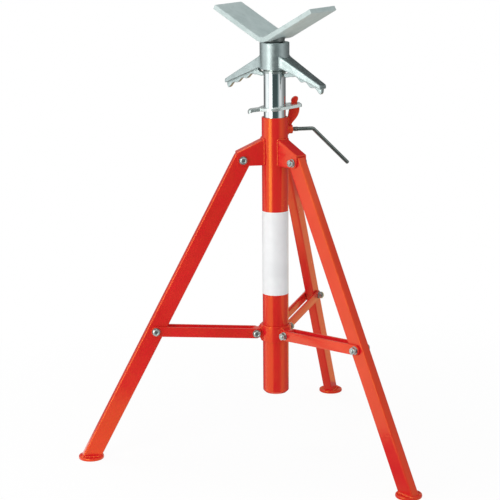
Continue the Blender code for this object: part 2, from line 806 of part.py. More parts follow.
def lock_plate_mesh():
    """The plate lies flat, its hinge line at the origin, the mast at -X."""
    tilt = math.radians(LATCH_TILT)
    mast_x = -(LATCH_HINGE.x - LATCH_THICKNESS / 2 * math.sin(tilt)) / math.cos(tilt)
    heel, corner = LATCH_HEEL, LATCH_HEEL_CORNER
    wide, narrow = LATCH_HEEL_HALF_WIDTH, LATCH_TAB_HALF_WIDTH
    tab = mast_x - LATCH_RING - LATCH_TAB_REACH
    root_width, root_run, tip_run, tip_width = LATCH_TAB_SHARES
    side = arc(
        (heel - corner, wide - corner), corner, 0, LATCH_HEEL_ANGLE, LATCH_CORNER_STEPS
    )
    side += arc((mast_x, 0), LATCH_RING, *LATCH_RING_ANGLES, 12)
    side += [
        (mast_x - math.sqrt(LATCH_RING**2 - narrow**2), narrow * root_width),
        (mast_x - LATCH_RING - LATCH_TAB_REACH * root_run, narrow),
        (tab + narrow * tip_run, narrow),
        (tab, narrow * tip_width),
    ]
    outline = side + [(x, -y) for x, y in reversed(side)]
    body = prism("lock_plate", outline, LATCH_THICKNESS, upright=False)

    def lift(shape):
        bmesh.ops.translate(
            shape, verts=shape.verts, vec=(0, 0, LATCH_THICKNESS / 2)
        )

    edit_mesh(body, lift)
    lip = prism(
        "lip",
        [
            (tab, LATCH_THICKNESS / 2),
            (tab, -LATCH_LIP_DROP),
            (tab + LATCH_LIP_LENGTH, -LATCH_LIP_DROP),
            (tab + LATCH_LIP_LENGTH * LIP_SHARES[0], LATCH_THICKNESS / 2),
        ],
        narrow * LIP_SHARES[1],
    )
    low, high = -OVERRUN, LATCH_THICKNESS + OVERRUN
    bore = cylinder("mast_bore", LATCH_BORE, (mast_x, 0, low), (mast_x, 0, high), ROUND_STEPS)
    neck_out, _ = hook_point(HOOK_NECK_OUT_SHARE, 0)
    neck_in, _ = hook_point(HOOK_NECK_IN_SHARE, 0)
    slot_half = HOOK_THICKNESS / 2 + LATCH_SLOT_GAP
    slot_out = neck_out - HINGE_X + LATCH_SLOT_GAP
    slot_in = neck_in - HINGE_X - LATCH_SLOT_GAP
    slot = helper(
        "hook_slot",
        prism(
            "hook_slot",
            [
                (slot_in, -slot_half),
                (slot_out, -slot_half),
                (slot_out, slot_half),
                (slot_in, slot_half),
            ],
            high - low,
            upright=False,
        ),
        location=(0, 0, (high + low) / 2),
    )
    return carved(body, joins=[lip], cuts=[bore, slot])


def rib_line(share):
    """Height of the wing's lower edge at this share of its reach, above the nut's foot."""
    (x0, z0), (x1, z1) = WING_ROOT_SHARE, WING_TOP_SHARES[-1]
    return NUT_HEIGHT * (z0 + (z1 - z0) * (share - x0) / (x1 - x0))


def wing_shapes():
    """The wing, narrower towards its tip, and the scalloped rib under it, both along +X."""
    outline = [(WING_REACH * x, NUT_HEIGHT * z) for x, z in WING_TOP_SHARES]
    outline.append((WING_REACH * WING_ROOT_SHARE[0], NUT_HEIGHT * WING_ROOT_SHARE[1]))

    def taper(shape):
        for vertex in shape.verts:
            share = (vertex.co.x / WING_REACH - WING_ROOT_SHARE[0]) / (1 - WING_ROOT_SHARE[0])
            vertex.co.y *= 1 - share * (1 - WING_TIP_WIDTH / WING_ROOT_WIDTH)

    wing = edit_mesh(prism("wing", outline, WING_ROOT_WIDTH), taper)
    wing = rounded(wing, WING_EDGE, 2, corner_edge)
    foot = []
    spans = zip(WING_BUMP_SHARES, WING_BUMP_SHARES[1:], WING_RIB_DEPTHS, WING_RIB_DEPTHS[1:])
    for near, far, near_depth, far_depth in spans:
        for i in range(WING_SCALLOP_STEPS):
            along = i / WING_SCALLOP_STEPS
            lift = WING_SCALLOP * (1 - math.cos(2 * math.pi * along)) / 2
            depth = near_depth + (far_depth - near_depth) * along - lift
            foot.append((near + (far - near) * along, depth))
    start, end = WING_RIB_START_SHARE, WING_RIB_END_SHARE
    last, deepest = WING_BUMP_SHARES[-1], WING_RIB_DEPTHS[-1]
    foot.append((last, deepest))
    for along, lift in WING_HOOK_SHARES:
        foot.append((last + (end - last) * along, deepest - WING_SCALLOP * lift))
    foot.append((end, 0))
    rib = [(WING_REACH * x, NUT_HEIGHT * z) for x, z in WING_LOBE_SHARES]
    rib += [(WING_REACH * x, rib_line(x) - depth) for x, depth in foot]
    rib += [
        (WING_REACH * end, rib_line(end) + WING_EDGE * WING_EDGE_SHARES[0]),
        (WING_REACH * start, rib_line(start) + WING_EDGE * WING_EDGE_SHARES[1]),
    ]
    return [wing, prism("wing_rib", rib, WING_RIB_WIDTH)]


def wing_nut_mesh():
    """The nut stands on z = 0, with its wings along +X and -X."""
    body = ring("wing_nut", NUT_RADIUS, NUT_BORE, NUT_HEIGHT, 0, NUT_EDGE)
    joins = []
    for turn in (0, math.pi):
        joins += [helper("wing", mesh, azimuth=turn) for mesh in wing_shapes()]
    bore = cylinder(
        "nut_bore", NUT_BORE, (0, 0, -OVERRUN), (0, 0, NUT_HEIGHT + OVERRUN), ROUND_STEPS
    )
    return carved(body, joins=joins, cuts=[bore])


def trough_line(offset):
    """The V from left to right, this far under its upper face, with z = 0 at its lowest underside."""
    slope = math.radians(ARM_SLOPE)
    bend_z = PLATE_THICKNESS + PLATE_BEND
    vertex_z = bend_z - PLATE_BEND / math.cos(slope)
    radius = PLATE_BEND + offset
    tip = (
        ARM_LENGTH * math.cos(slope) + offset * math.sin(slope),
        vertex_z + ARM_LENGTH * math.sin(slope) - offset * math.cos(slope),
    )
    bend = arc((0, bend_z), radius, 270 - ARM_SLOPE, 270 + ARM_SLOPE, PLATE_BEND_STEPS)
    return [(-tip[0], tip[1])] + bend + [tip]


def v_plate_mesh():
    """A bent plate with its arms along X and its trough along Y: a sheet made solid."""
    mesh = bpy.data.meshes.new("v_plate")
    shape = bmesh.new()
    row = [shape.verts.new((x, -ARM_WIDTH / 2, z)) for x, z in trough_line(0)]
    edges = [shape.edges.new(pair) for pair in zip(row, row[1:])]
    pushed = bmesh.ops.extrude_edge_only(shape, edges=edges)["geom"]
    moved = [item for item in pushed if isinstance(item, bmesh.types.BMVert)]
    bmesh.ops.translate(shape, verts=moved, vec=(0, ARM_WIDTH, 0))
    bmesh.ops.recalc_face_normals(shape, faces=shape.faces)
    if sum(face.normal.z for face in shape.faces) < 0:
        bmesh.ops.reverse_faces(shape, faces=shape.faces)
    shape.to_mesh(mesh)
    shape.free()
    obj = helper("v_plate", mesh)
    solid = obj.modifiers.new("Thickness", "SOLIDIFY")
    solid.thickness = PLATE_THICKNESS
    solid.offset = -1
    solid.use_even_offset = True
    edge = obj.modifiers.new("Edge", "BEVEL")
    edge.width = PLATE_EDGE
    edge.segments = 1
    edge.limit_method = "ANGLE"
    edge.angle_limit = math.radians(60)
    result = evaluated_mesh(obj)
    bpy.data.objects.remove(obj)
    return result


def head_screw_mesh():
    """Screw and neck, standing on the neck's foot, the neck cut to the V plate's underside."""
    neck = SCREW_RADIUS + NECK_SHOULDER
    top = PLATE_BOTTOM_Z - NECK_BOTTOM_Z + PLATE_THICKNESS
    slope = math.tan(math.radians(ARM_SLOPE))
    top += neck * slope
    body = turned(
        "head_screw",
        [
            (0, top),
            (neck, top),
            (neck, NECK_GROOVE_HEIGHT),
            (SCREW_RADIUS, 0),
            (SCREW_RADIUS, SCREW_TIP - SCREW_LENGTH),
            (SCREW_RADIUS - SCREW_TIP, -SCREW_LENGTH),
            (0, -SCREW_LENGTH),
        ],
        steps=40,
    )
    underside = trough_line(PLATE_THICKNESS + SEAT_GAP)
    lift = PLATE_BOTTOM_Z - NECK_BOTTOM_Z
    outline = [(x, z + lift) for x, z in underside]
    high = max(z for _, z in outline) + top
    outline += [(outline[-1][0], high), (outline[0][0], high)]
    plate_space = prism("plate_space", outline, ARM_WIDTH)
    return carved(body, cuts=[plate_space])


clear_scene()
PARTS = new_collection("pipe_jack_stand")
HELPERS = new_collection("cutters")

RED = new_material("red_paint", (0.78, 0.05, 0.025), 0.34, 0.0)
CHROME = new_material("chrome", (0.78, 0.80, 0.80), 0.10, 1.0)
ZINC = new_material("zinc_plate", (0.60, 0.65, 0.63), 0.34, 1.0)
CAST = new_material("cast_zinc", (0.52, 0.55, 0.55), 0.42, 1.0)
FIXING = new_material("zinc_fixing", (0.62, 0.64, 0.62), 0.30, 1.0)

# The tube's axis lies a quarter of the feet's circle behind the middle of the whole box.
STAND = new_empty("stand_axis", location=(0, -FOOT_CIRCLE_RADIUS / 4, 0))
part("outer_tube", outer_tube_mesh(), RED, STAND)

bracket, leg, foot, bar = leg_bracket_mesh(), leg_mesh(), foot_mesh(), bar_mesh()
bracket_bolt, collar_bolt = bolt_mesh(FLANGE_OUTER), bolt_mesh(BAR_OUTER)
brace_head, brace_shank, brace_nut = bolt_head_mesh(), bolt_shank_mesh(), bolt_nut_mesh()
COLLAR = new_empty("collar_slide", STAND, (0, 0, COLLAR_PIVOT.z))
part("collar", collar_mesh(), RED, COLLAR)

for number, azimuth in enumerate(LEG_AZIMUTHS, 1):
    station = new_empty(f"leg_station_{number}", STAND, azimuth=azimuth)
    part(f"leg_bracket_{number}", bracket, RED, station)
    part(f"bracket_bolt_{number}", bracket_bolt, FIXING, station, LEG_PIVOT)

    hinge = new_empty(f"leg_hinge_{number}", station, LEG_PIVOT)
    part(f"leg_{number}", leg, RED, hinge, lean=LEG_LEAN)
    foot_place = Vector((FOOT_CIRCLE_RADIUS, 0, 0)) - LEG_PIVOT
    part(f"foot_{number}", foot, RED, hinge, foot_place)
    part(
        f"brace_bolt_shank_{number}", brace_shank, FIXING, hinge, LEG_AXIS * LEG_BRACE_DISTANCE
    )

    lug = new_empty(f"lug_station_{number}", COLLAR, azimuth=azimuth)
    part(
        f"collar_bolt_{number}", collar_bolt, FIXING, lug, (COLLAR_PIVOT.x, 0, 0)
    )
    brace = new_empty(f"brace_hinge_{number}", lug, (COLLAR_PIVOT.x, 0, 0))
    for side, sign in (("a", 1), ("b", -1)):
        offset = (0, sign * (EAR_INNER + BAR_THICKNESS / 2), 0)
        part(f"brace_bar_{number}{side}", bar, RED, brace, offset, BRACE_ANGLE)
    part(f"brace_bolt_head_{number}", brace_head, FIXING, brace, BRACE_SPAN)
    part(f"brace_bolt_nut_{number}", brace_nut, FIXING, brace, BRACE_SPAN)

CLAMP = new_empty("clamp_station", STAND, azimuth=CLAMP_AZIMUTH)
part("latch_hook", latch_hook_mesh(), RED, CLAMP)
part("clamp_boss", clamp_boss_mesh(), RED, CLAMP)
stud = cylinder(
    "clamp_stud", STUD_DIAMETER / 2, (STUD_INNER - STUD_OUTER, 0, 0), (0, 0, 0)
)
part("clamp_stud", stud, FIXING, CLAMP, (STUD_OUTER, 0, CLAMP_Z))
part("clamp_lever", clamp_lever_mesh(), FIXING, CLAMP, (STUD_OUTER, 0, CLAMP_Z))
part(
    "lock_plate", lock_plate_mesh(), ZINC, CLAMP, LATCH_HINGE,
    lean=math.radians(LATCH_TILT),
)

MAST = new_empty("mast_slide", STAND, (0, 0, MAST_BOTTOM_Z))
mast = ring(
    "mast_tube", MAST_OD / 2, MAST_BORE, MAST_TOP_Z - MAST_BOTTOM_Z, 0, TUBE_EDGE
)
part("mast_tube", mast, CHROME, MAST)

HEAD = new_empty("head_swivel", MAST, (0, 0, MAST_TOP_Z - MAST_BOTTOM_Z))
washer = ring(
    "thrust_washer",
    MAST_OD / 2 + THRUST_OVERHANG,
    NUT_BORE,
    SEAT_GAP + THRUST_HEIGHT,
    SEAT_GAP,
    SEAT_GAP,
)
part("thrust_washer", washer, FIXING, HEAD)
part(
    "wing_nut", wing_nut_mesh(), CAST, HEAD, (0, 0, NUT_BOTTOM_Z - MAST_TOP_Z),
    azimuth=math.radians(WING_AZIMUTH),
)
LIFT = new_empty("head_lift", HEAD, (0, 0, NECK_BOTTOM_Z - MAST_TOP_Z), HEAD_AZIMUTH)
part("head_screw", head_screw_mesh(), FIXING, LIFT)
part(
    "v_plate", v_plate_mesh(), ZINC, LIFT, (0, 0, PLATE_BOTTOM_Z - NECK_BOTTOM_Z)
)
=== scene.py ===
"""A folding tripod pipe stand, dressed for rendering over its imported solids.

Lengths are millimetres until a mesh is written. Every new piece is worked out with
numpy as sheets: grids of points that are closed round, along, both or neither way.
Stations are frames on the tube's axis whose X axis points outward.
"""

import math

import bmesh
import bpy
import numpy as np
from mathutils import Matrix, Vector


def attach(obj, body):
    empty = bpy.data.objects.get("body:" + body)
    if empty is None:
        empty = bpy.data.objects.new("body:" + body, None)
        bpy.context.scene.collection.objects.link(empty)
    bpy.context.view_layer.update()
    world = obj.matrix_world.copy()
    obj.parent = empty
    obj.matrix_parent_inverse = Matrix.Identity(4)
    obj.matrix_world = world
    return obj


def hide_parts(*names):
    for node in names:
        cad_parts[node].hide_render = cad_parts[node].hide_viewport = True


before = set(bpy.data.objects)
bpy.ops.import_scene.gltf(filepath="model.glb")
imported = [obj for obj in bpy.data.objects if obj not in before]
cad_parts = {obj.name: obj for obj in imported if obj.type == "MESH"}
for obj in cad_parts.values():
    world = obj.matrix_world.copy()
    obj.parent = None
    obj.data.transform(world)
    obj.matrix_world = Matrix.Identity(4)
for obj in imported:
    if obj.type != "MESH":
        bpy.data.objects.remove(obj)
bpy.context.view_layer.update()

MM = 0.001
LEGS = {1: 90, 2: 210, 3: 330}

# Sizes, as in the part
TUBE_R, TUBE_BORE, TUBE_TOP, TUBE_FOOT, SWAGE = 25.4, 22.2, 662.4, 112.9, 4.6
WALL, WELD_WALL = TUBE_R + 0.3, TUBE_R + 0.2  # where welded pieces and their beads stand off the tube
MAST_R, MAST_BORE, MAST_TOP, MAST_FOOT = 21.1, 17.5, 747.6, 171.1
PIVOT_X, PIVOT_Z, LEAN = 64.35, 582.1, 27.86197
LEG_HALF_WIDTH, LEG_HALF_DEPTH, LEG_WALL = 9.2, 17.0, 2.0
EAR_INNER, FLANGE_OUTER, BAR_OUTER = 9.6, 12.8, 13.6
BRACKET_NOSE, WEB_HIGH, WEB_LOW = 11.0, 39.0, 15.7
COLLAR_X, COLLAR_Z, COLLAR_R, COLLAR_BORE = 40.75, 237.351, 29.65, 25.75
BRACE_LENGTH, BRACE_RISE, BAR_HALF_WIDTH, BAR_HALF_THICK = 198.5257, 4.30428, 9.7, 2.0
FOOT_CIRCLE, FOOT_R = 370.0, 25.0
CLAMP_AZIMUTH, CLAMP_Z, BOSS_FACE = 30, 637.5, 34.3
HINGE_X, HINGE_Z, LATCH_TILT = 47.661, 681.531, 5.1
HOOK_REACH, HOOK_HEIGHT, HOOK_FOOT = 22.6, 55.5, 645.6
HOOK_NECK_IN, HOOK_NECK_OUT = 0.28, 0.83  # shares of the hook's reach
THRUST_FOOT, THRUST_TOP, THRUST_R = 747.9, 753.9, 22.4
NUT_FOOT, NUT_HEIGHT, NUT_R, NUT_BORE = 754.2, 50.8, 28.4, 16.2
WING_REACH, WING_NOSE, WING_ROOT = 108.5, 106.5, 22.6
WING_ROOT_HALF, WING_TIP_HALF, RIB_HALF = 17.5, 11.1, 4.5
WING_UNDER, WING_UPPER = (0.072, -0.622), (0.505, -0.459)  # nut heights at root and nose
NECK_FOOT, PLATE_FOOT, SCREW_R, NECK_R = 806.2, 808.6, 15.9, 19.7
ARM, ARM_SLOPE, ARM_THICK, BEND, ARM_HALF_WIDTH = 121.0, 29.4, 9.3, 20.0, 44.75
WING_AZIMUTH = HEAD_AZIMUTH = -14


# Frames
def shift(x, y, z):
    """The matrix that moves by x, y and z."""
    m = np.eye(4)
    m[:3, 3] = x, y, z
    return m


def turn(axis, degrees):
    """The matrix that turns round an axis."""
    return np.array(Matrix.Rotation(math.radians(degrees), 4, axis))


STAND_Y = -FOOT_CIRCLE / 4
STAND = shift(0, STAND_Y, 0)


def station(azimuth):
    """The frame on the tube's axis whose X axis points out at this azimuth."""
    return STAND @ turn("Z", azimuth)


def placed(sheets, matrix):
    """The sheets with each point p moved to matrix p."""
    return [
        (points @ matrix[:3, :3].T + matrix[:3, 3], ring, loop)
        for points, ring, loop in sheets
    ]


# Meshes
def quads(rows, columns, ring, loop):
    """Faces between neighbours of a grid; ring closes the columns, loop the rows."""
    i, j = np.meshgrid(
        np.arange(rows if loop else rows - 1),
        np.arange(columns if ring else columns - 1),
        indexing="ij",
    )
    i, j = i.ravel(), j.ravel()
    k, l = (i + 1) % rows, (j + 1) % columns
    return np.stack([i * columns + j, i * columns + l, k * columns + l, k * columns + j], 1)


def mesh_of(name, sheets):
    """One mesh of all sheets, doubles merged so that seams, poles and rims close.

    A sheet whose ring is None is a flat face with the points as its outline.
    """
    places, faces, base = [], [], 0
    for points, ring, loop in sheets:
        points = np.asarray(points, float)
        if ring is None:
            faces.append(list(range(base, base + len(points))))
        else:
            faces += (quads(*points.shape[:2], ring, loop) + base).tolist()
        places.append(points.reshape(-1, 3))
        base += len(places[-1])
    mesh = bpy.data.meshes.new(name)
    mesh.from_pydata((np.concatenate(places) * MM).tolist(), [], faces)
    shape = bmesh.new()
    shape.from_mesh(mesh)
    bmesh.ops.remove_doubles(shape, verts=shape.verts, dist=2e-6)
    bmesh.ops.dissolve_degenerate(shape, edges=shape.edges, dist=1e-6)
    bmesh.ops.recalc_face_normals(shape, faces=shape.faces)
    shape.to_mesh(mesh)
    shape.free()
    return mesh


def linked(name, data):
    """A new object in the scene."""
    obj = bpy.data.objects.new(name, data)
    bpy.context.scene.collection.objects.link(obj)
    return obj


def piece(name, sheets, finish, body, nodes=(), sharp=32, bevel=0, segments=2, cut=None):
    """A piece that rides on a body, wears a finish's material and stands for nodes, which it hides; the
    finish's slot is not used.
    """
    material, slot = finish
    obj = linked(name, mesh_of(name, sheets))
    if cut:
        cutter = linked("cutter", mesh_of("cutter", cut))
        boolean = obj.modifiers.new("Cut", "BOOLEAN")
        boolean.operation, boolean.solver, boolean.object = "DIFFERENCE", "EXACT", cutter
        settle(obj)
        bpy.data.objects.remove(cutter, do_unlink=True)
    if bevel:
        rim = obj.modifiers.new("Rim", "BEVEL")
        rim.width, rim.segments = bevel * MM, segments
        rim.limit_method, rim.angle_limit = "ANGLE", math.radians(40)
        settle(obj)
    obj.data.materials.clear()
    obj.data.materials.append(material)
    obj.data.shade_smooth()
    obj.data.set_sharp_from_angle(angle=math.radians(sharp))
    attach(obj, body)
    if nodes:
        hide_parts(*nodes)


def settle(obj):
    """Apply the modifiers."""
    bpy.context.view_layer.update()
    graph = bpy.context.evaluated_depsgraph_get()
    mesh = bpy.data.meshes.new_from_object(obj.evaluated_get(graph))
    obj.modifiers.clear()
    obj.data = mesh


# Curves and surfaces
def softened(corners, radius, steps, closed=True):
    """Corners rounded by parabolas: (1-t)^2 a + 2t(1-t) c + t^2 b between the points a
    and b that lie a radius before and after each corner c."""
    corners = np.asarray(corners, float)
    radius = np.broadcast_to(np.asarray(radius, float), len(corners)).copy()
    if not closed:
        radius[[0, -1]] = 0
    before, after = np.roll(corners, 1, 0) - corners, np.roll(corners, -1, 0) - corners
    lb = np.maximum(np.linalg.norm(before, axis=1), 1e-9)
    la = np.maximum(np.linalg.norm(after, axis=1), 1e-9)
    cut = np.minimum(radius, np.minimum(lb, la) * 0.49)[:, None]
    a, b = corners + before / lb[:, None] * cut, corners + after / la[:, None] * cut
    t = np.linspace(0, 1, steps + 1)[None, :, None]
    curve = (1 - t) ** 2 * a[:, None] + 2 * t * (1 - t) * corners[:, None] + t**2 * b[:, None]
    out = curve.reshape(-1, corners.shape[1])
    keep = np.ones(len(out), bool)
    keep[1:] = np.linalg.norm(np.diff(out, axis=0), axis=1) > 1e-7
    return out[keep]


def spread(points, gap, closed=True):
    """The same line with extra points so that no step is longer than the gap."""
    points = np.asarray(points, float)
    ends = np.roll(points, -1, 0) if closed else points[1:]
    starts = points if closed else points[:-1]
    out = []
    for a, b in zip(starts, ends):
        n = max(1, int(math.ceil(np.linalg.norm(b - a) / gap)))
        out.append(a + (b - a) * (np.arange(n) / n)[:, None])
    if not closed:
        out.append(points[-1:])
    return np.concatenate(out)


def arc(centre, radius, start, end, steps):
    """centre + radius (cos a, sin a) for angles a in degrees."""
    a = np.radians(np.linspace(start, end, steps + 1))
    return np.stack([centre[0] + radius * np.cos(a), centre[1] + radius * np.sin(a)], 1)


def once_round(steps):
    """Angles of a full turn, the last one left off."""
    return np.linspace(0, 2 * math.pi, steps, endpoint=False)


def ring_row(radius, a, height):
    """Points (radius cos a, radius sin a, height)."""
    return np.stack([radius * np.cos(a), radius * np.sin(a), height + 0 * a], -1)


def turned(profile, steps, closed=False):
    """(r cos a, r sin a, z) for each point (r, z) of a profile; a goes once round."""
    profile = np.asarray(profile, float)
    return ring_row(profile[:, :1], once_round(steps), profile[:, 1:]), True, closed


def turned_ring(outer, bore, bottom, top, edges, rows, steps):
    """A turned rectangle with four rounded rims."""
    corners = [(outer, bottom), (outer, top), (bore, top), (bore, bottom)]
    return turned(softened(corners, edges, rows), steps, closed=True)


def on_round(radius, y, z):
    """Points on the side of an upright cylinder: x = sqrt(radius^2 - y^2)."""
    return np.stack([np.sqrt(radius**2 - y**2), y, z], -1)


def carried(section, path, up, size):
    """path + size (s side + r rise) for each point (s, r) of a closed section, where
    side is square to the path's tangent and to up, and rise to tangent and side."""
    tangent = np.gradient(path, axis=0)
    tangent /= np.linalg.norm(tangent, axis=1)[:, None]
    side = np.cross(tangent, np.broadcast_to(up, path.shape))
    side /= np.linalg.norm(side, axis=1)[:, None]
    rise = np.cross(side, tangent)
    points = path[:, None] + size[:, None, None] * (
        section[None, :, :1] * side[:, None] + section[None, :, 1:] * rise[:, None]
    )
    first, last = points[:1] * 0 + path[0], points[:1] * 0 + path[-1]
    return np.concatenate([first, points, last]), True, False


def circle(radius, steps):
    """An arc all the way round, its last point left off."""
    return arc((0, 0), radius, 0, 360, steps)[:-1]


def slab(outline, low, high, edge, steps=4):
    """A flat outline with a thickness and rounded rims: rim row k is the outline drawn
    in by edge (1 - cos a) at edge (1 - sin a) from the face, a from 0 to 90 degrees."""
    outline = np.asarray(outline, float)
    ahead = np.roll(outline, -1, 0)
    along = ahead - np.roll(outline, 1, 0)
    along /= np.maximum(np.linalg.norm(along, axis=1), 1e-9)[:, None]
    inward = np.stack([-along[:, 1], along[:, 0]], 1)
    inward *= np.sign(np.sum(outline[:, 0] * ahead[:, 1] - outline[:, 1] * ahead[:, 0]))
    a = np.linspace(0, math.pi / 2, steps + 1)
    drawn, depth = edge * (1 - np.cos(a)), edge * (1 - np.sin(a))
    height = np.concatenate([low + depth[::-1], high - depth])
    drawn = np.concatenate([drawn[::-1], drawn])
    rows = outline[None] + inward[None] * drawn[:, None, None]
    points = np.concatenate([rows, np.broadcast_to(height[:, None, None], rows.shape[:2] + (1,))], -1)
    return [(points, True, False), (points[0], None, None), (points[-1], None, None)]


def shell(outer, inner):
    """Two facing grids and the four strips between their borders."""
    sheets = [(outer, False, False), (inner, False, False)]
    for cut in (np.s_[0], np.s_[-1], np.s_[:, 0], np.s_[:, -1]):
        sheets.append((np.stack([outer[cut], inner[cut]]), False, False))
    return sheets


UPRIGHT = turn("X", 90)  # an outline drawn in XY then stands in XZ
OUTWARD = (1.0, 0.0, 0.0)


def bead(path, radius, ripple=0.16, pitch=3.2, up=(0.0, 0.0, 1.0)):
    """A weld: a circle carried along a path, its radius swelling by a ripple once in
    every pitch of the way and fading at both ends."""
    path = spread(path, 0.7, closed=False)
    way = np.concatenate([[0], np.cumsum(np.linalg.norm(np.diff(path, axis=0), axis=1))])
    size = 1 + ripple * np.abs(np.sin(math.pi * way / pitch)) + 0.06 * np.sin(way * 0.7)
    fade = np.clip(np.minimum(way, way[-1] - way) / radius, 0, 1)
    size = size * np.sqrt(np.maximum(1 - (1 - fade) ** 2, 0.02))
    return carried(circle(radius, 12), path, up, size)


# Finishes
def node_tree(name):
    """A new material, its nodes and its shader."""
    material = bpy.data.materials.new(name)
    material.use_nodes = True
    tree = material.node_tree
    return material, tree, tree.nodes["Principled BSDF"]


def constants(node, values):
    """Numbers and colours, set on the node's own sockets."""
    for socket, value in values.items():
        node.inputs[socket].default_value = value


def noise(tree, scale, detail=3.0, roughness=0.55, stretch=None, distortion=0.0):
    """Noise on Object coordinates; the scale counts features in a metre."""
    coordinates = tree.nodes.new("ShaderNodeTexCoord")
    source = coordinates.outputs["Object"]
    if stretch:
        mapping = tree.nodes.new("ShaderNodeMapping")
        mapping.inputs["Scale"].default_value = stretch
        tree.links.new(source, mapping.inputs["Vector"])
        source = mapping.outputs["Vector"]
    texture = tree.nodes.new("ShaderNodeTexNoise")
    constants(texture, {"Scale": scale, "Detail": detail})
    constants(texture, {"Roughness": roughness, "Distortion": distortion})
    tree.links.new(source, texture.inputs["Vector"])
    return texture.outputs["Fac"]


def ramp(tree, source, stops):
    """Colours or greys at places of the source's range."""
    node = tree.nodes.new("ShaderNodeValToRGB")
    elements = node.color_ramp.elements
    while len(elements) < len(stops):
        elements.new(0.5)
    for element, (place, colour) in zip(elements, stops):
        element.position = place
        element.color = (*colour, 1) if isinstance(colour, tuple) else (colour, colour, colour, 1)
    tree.links.new(source, node.inputs["Fac"])
    return node.outputs["Color"]


def mixed(tree, factor, low, high, mode="MIX"):
    """Two colours mixed; each of the three inputs is a socket, a number or a colour."""
    node = tree.nodes.new("ShaderNodeMix")
    node.data_type, node.blend_type = "RGBA", mode
    for socket, value in ((node.inputs[0], factor), (node.inputs[6], low), (node.inputs[7], high)):
        if isinstance(value, bpy.types.NodeSocket):
            tree.links.new(value, socket)
        else:
            socket.default_value = value if isinstance(value, float) else (*value, 1)
    return node.outputs[2]


def bumped(tree, shader, *layers):
    """Bumps one over the other; a layer is (height, distance in metres, strength)."""
    last = None
    for height, distance, strength in layers:
        bump = tree.nodes.new("ShaderNodeBump")
        constants(bump, {"Distance": distance, "Strength": strength})
        tree.links.new(height, bump.inputs["Height"])
        if last:
            tree.links.new(last, bump.inputs["Normal"])
        last = bump.outputs["Normal"]
    tree.links.new(last, shader.inputs["Normal"])


def red_enamel():
    """Gloss enamel: slight shade changes, orange peel, dull patches, a few rubbed specks."""
    material, tree, shader = node_tree("red_enamel")
    shade = ramp(tree, noise(tree, 9, 4), [(0.3, (0.67, 0.009, 0.020)), (0.7, (0.75, 0.013, 0.026))])
    specks = ramp(tree, noise(tree, 330, 2, 0.4), [(0.765, 0.0), (0.785, 1.0)])
    patches = ramp(tree, noise(tree, 26, 3), [(0.52, 0.0), (0.62, 1.0)])
    rubbed = mixed(tree, patches, (0.0, 0.0, 0.0), specks)
    tree.links.new(mixed(tree, rubbed, shade, (0.22, 0.022, 0.02)), shader.inputs["Base Color"])
    tree.links.new(
        ramp(tree, noise(tree, 34, 5, 0.6), [(0.35, 0.17), (0.7, 0.28)]), shader.inputs["Roughness"]
    )
    constants(shader, {
        "IOR": 1.6, "Specular IOR Level": 1.0, "Specular Tint": (1.0, 0.56, 0.02, 1.0),
        "Coat Weight": 0.15, "Coat Roughness": 0.12,
        "Sheen Weight": 0.2, "Sheen Roughness": 0.35, "Sheen Tint": (1.0, 0.38, 0.08, 1.0),
    })
    bumped(
        tree, shader,
        (noise(tree, 420, 2, 0.5), 0.00010, 0.35),
        (noise(tree, 60, 2), 0.0004, 0.12),
    )
    return material


def chrome():
    """Polished plating on drawn tube: faint lengthways draw lines and a light haze."""
    material, tree, shader = node_tree("polished_chrome")
    shade = ramp(tree, noise(tree, 40, 3), [(0.35, (0.74, 0.80, 0.81)), (0.7, (0.82, 0.88, 0.88))])
    tree.links.new(shade, shader.inputs["Base Color"])
    shader.inputs["Metallic"].default_value = 1.0
    haze = ramp(tree, noise(tree, 700, 3, 0.6, stretch=(1, 1, 0.03)), [(0.4, 0.05), (0.75, 0.16)])
    tree.links.new(haze, shader.inputs["Roughness"])
    bumped(tree, shader, (noise(tree, 900, 2, 0.5, stretch=(1, 1, 0.02)), 0.00003, 0.25))
    return material


def zinc(name, low, high, rough, grain, wear=0.0, metallic=0.88):
    """Plated steel: cloudy shade, a fine grain and scattered darker scuffs."""
    material, tree, shader = node_tree(name)
    clouds = ramp(tree, noise(tree, 38, 5, 0.62, distortion=0.6), [(0.32, low), (0.68, high)])
    scuffs = ramp(
        tree, noise(tree, 150, 6, 0.7, stretch=(1, 1, 0.35)), [(0.60, 0.0), (0.72, 1.0)]
    )
    dark = tuple(c * 0.55 for c in low)
    amount = mixed(tree, wear, (0.0, 0.0, 0.0), scuffs)
    tree.links.new(mixed(tree, amount, clouds, dark), shader.inputs["Base Color"])
    shader.inputs["Metallic"].default_value = metallic
    tree.links.new(
        ramp(tree, noise(tree, 90, 5, 0.6), [(0.3, rough - 0.07), (0.7, rough + 0.09)]),
        shader.inputs["Roughness"],
    )
    bumped(
        tree, shader,
        (noise(tree, 1300, 2, 0.5), 0.00004, grain),
        (noise(tree, 210, 3, 0.5), 0.00012, grain * 0.8),
    )
    return material


def casting():
    """Plated casting: sand-pocked skin under a satin plating."""
    material, tree, shader = node_tree("cast_plating")
    clouds = ramp(
        tree, noise(tree, 55, 5, 0.6), [(0.3, (0.36, 0.43, 0.43)), (0.7, (0.46, 0.55, 0.55))]
    )
    pits = ramp(tree, noise(tree, 520, 3, 0.6), [(0.30, 0.55), (0.42, 1.0)])
    tree.links.new(mixed(tree, 0.55, clouds, pits, "MULTIPLY"), shader.inputs["Base Color"])
    shader.inputs["Metallic"].default_value = 0.85
    tree.links.new(
        ramp(tree, noise(tree, 120, 4, 0.6), [(0.3, 0.30), (0.7, 0.46)]), shader.inputs["Roughness"]
    )
    bumped(
        tree, shader,
        (noise(tree, 520, 4, 0.65), 0.00022, 0.55),
        (noise(tree, 90, 2), 0.0006, 0.22),
    )
    return material


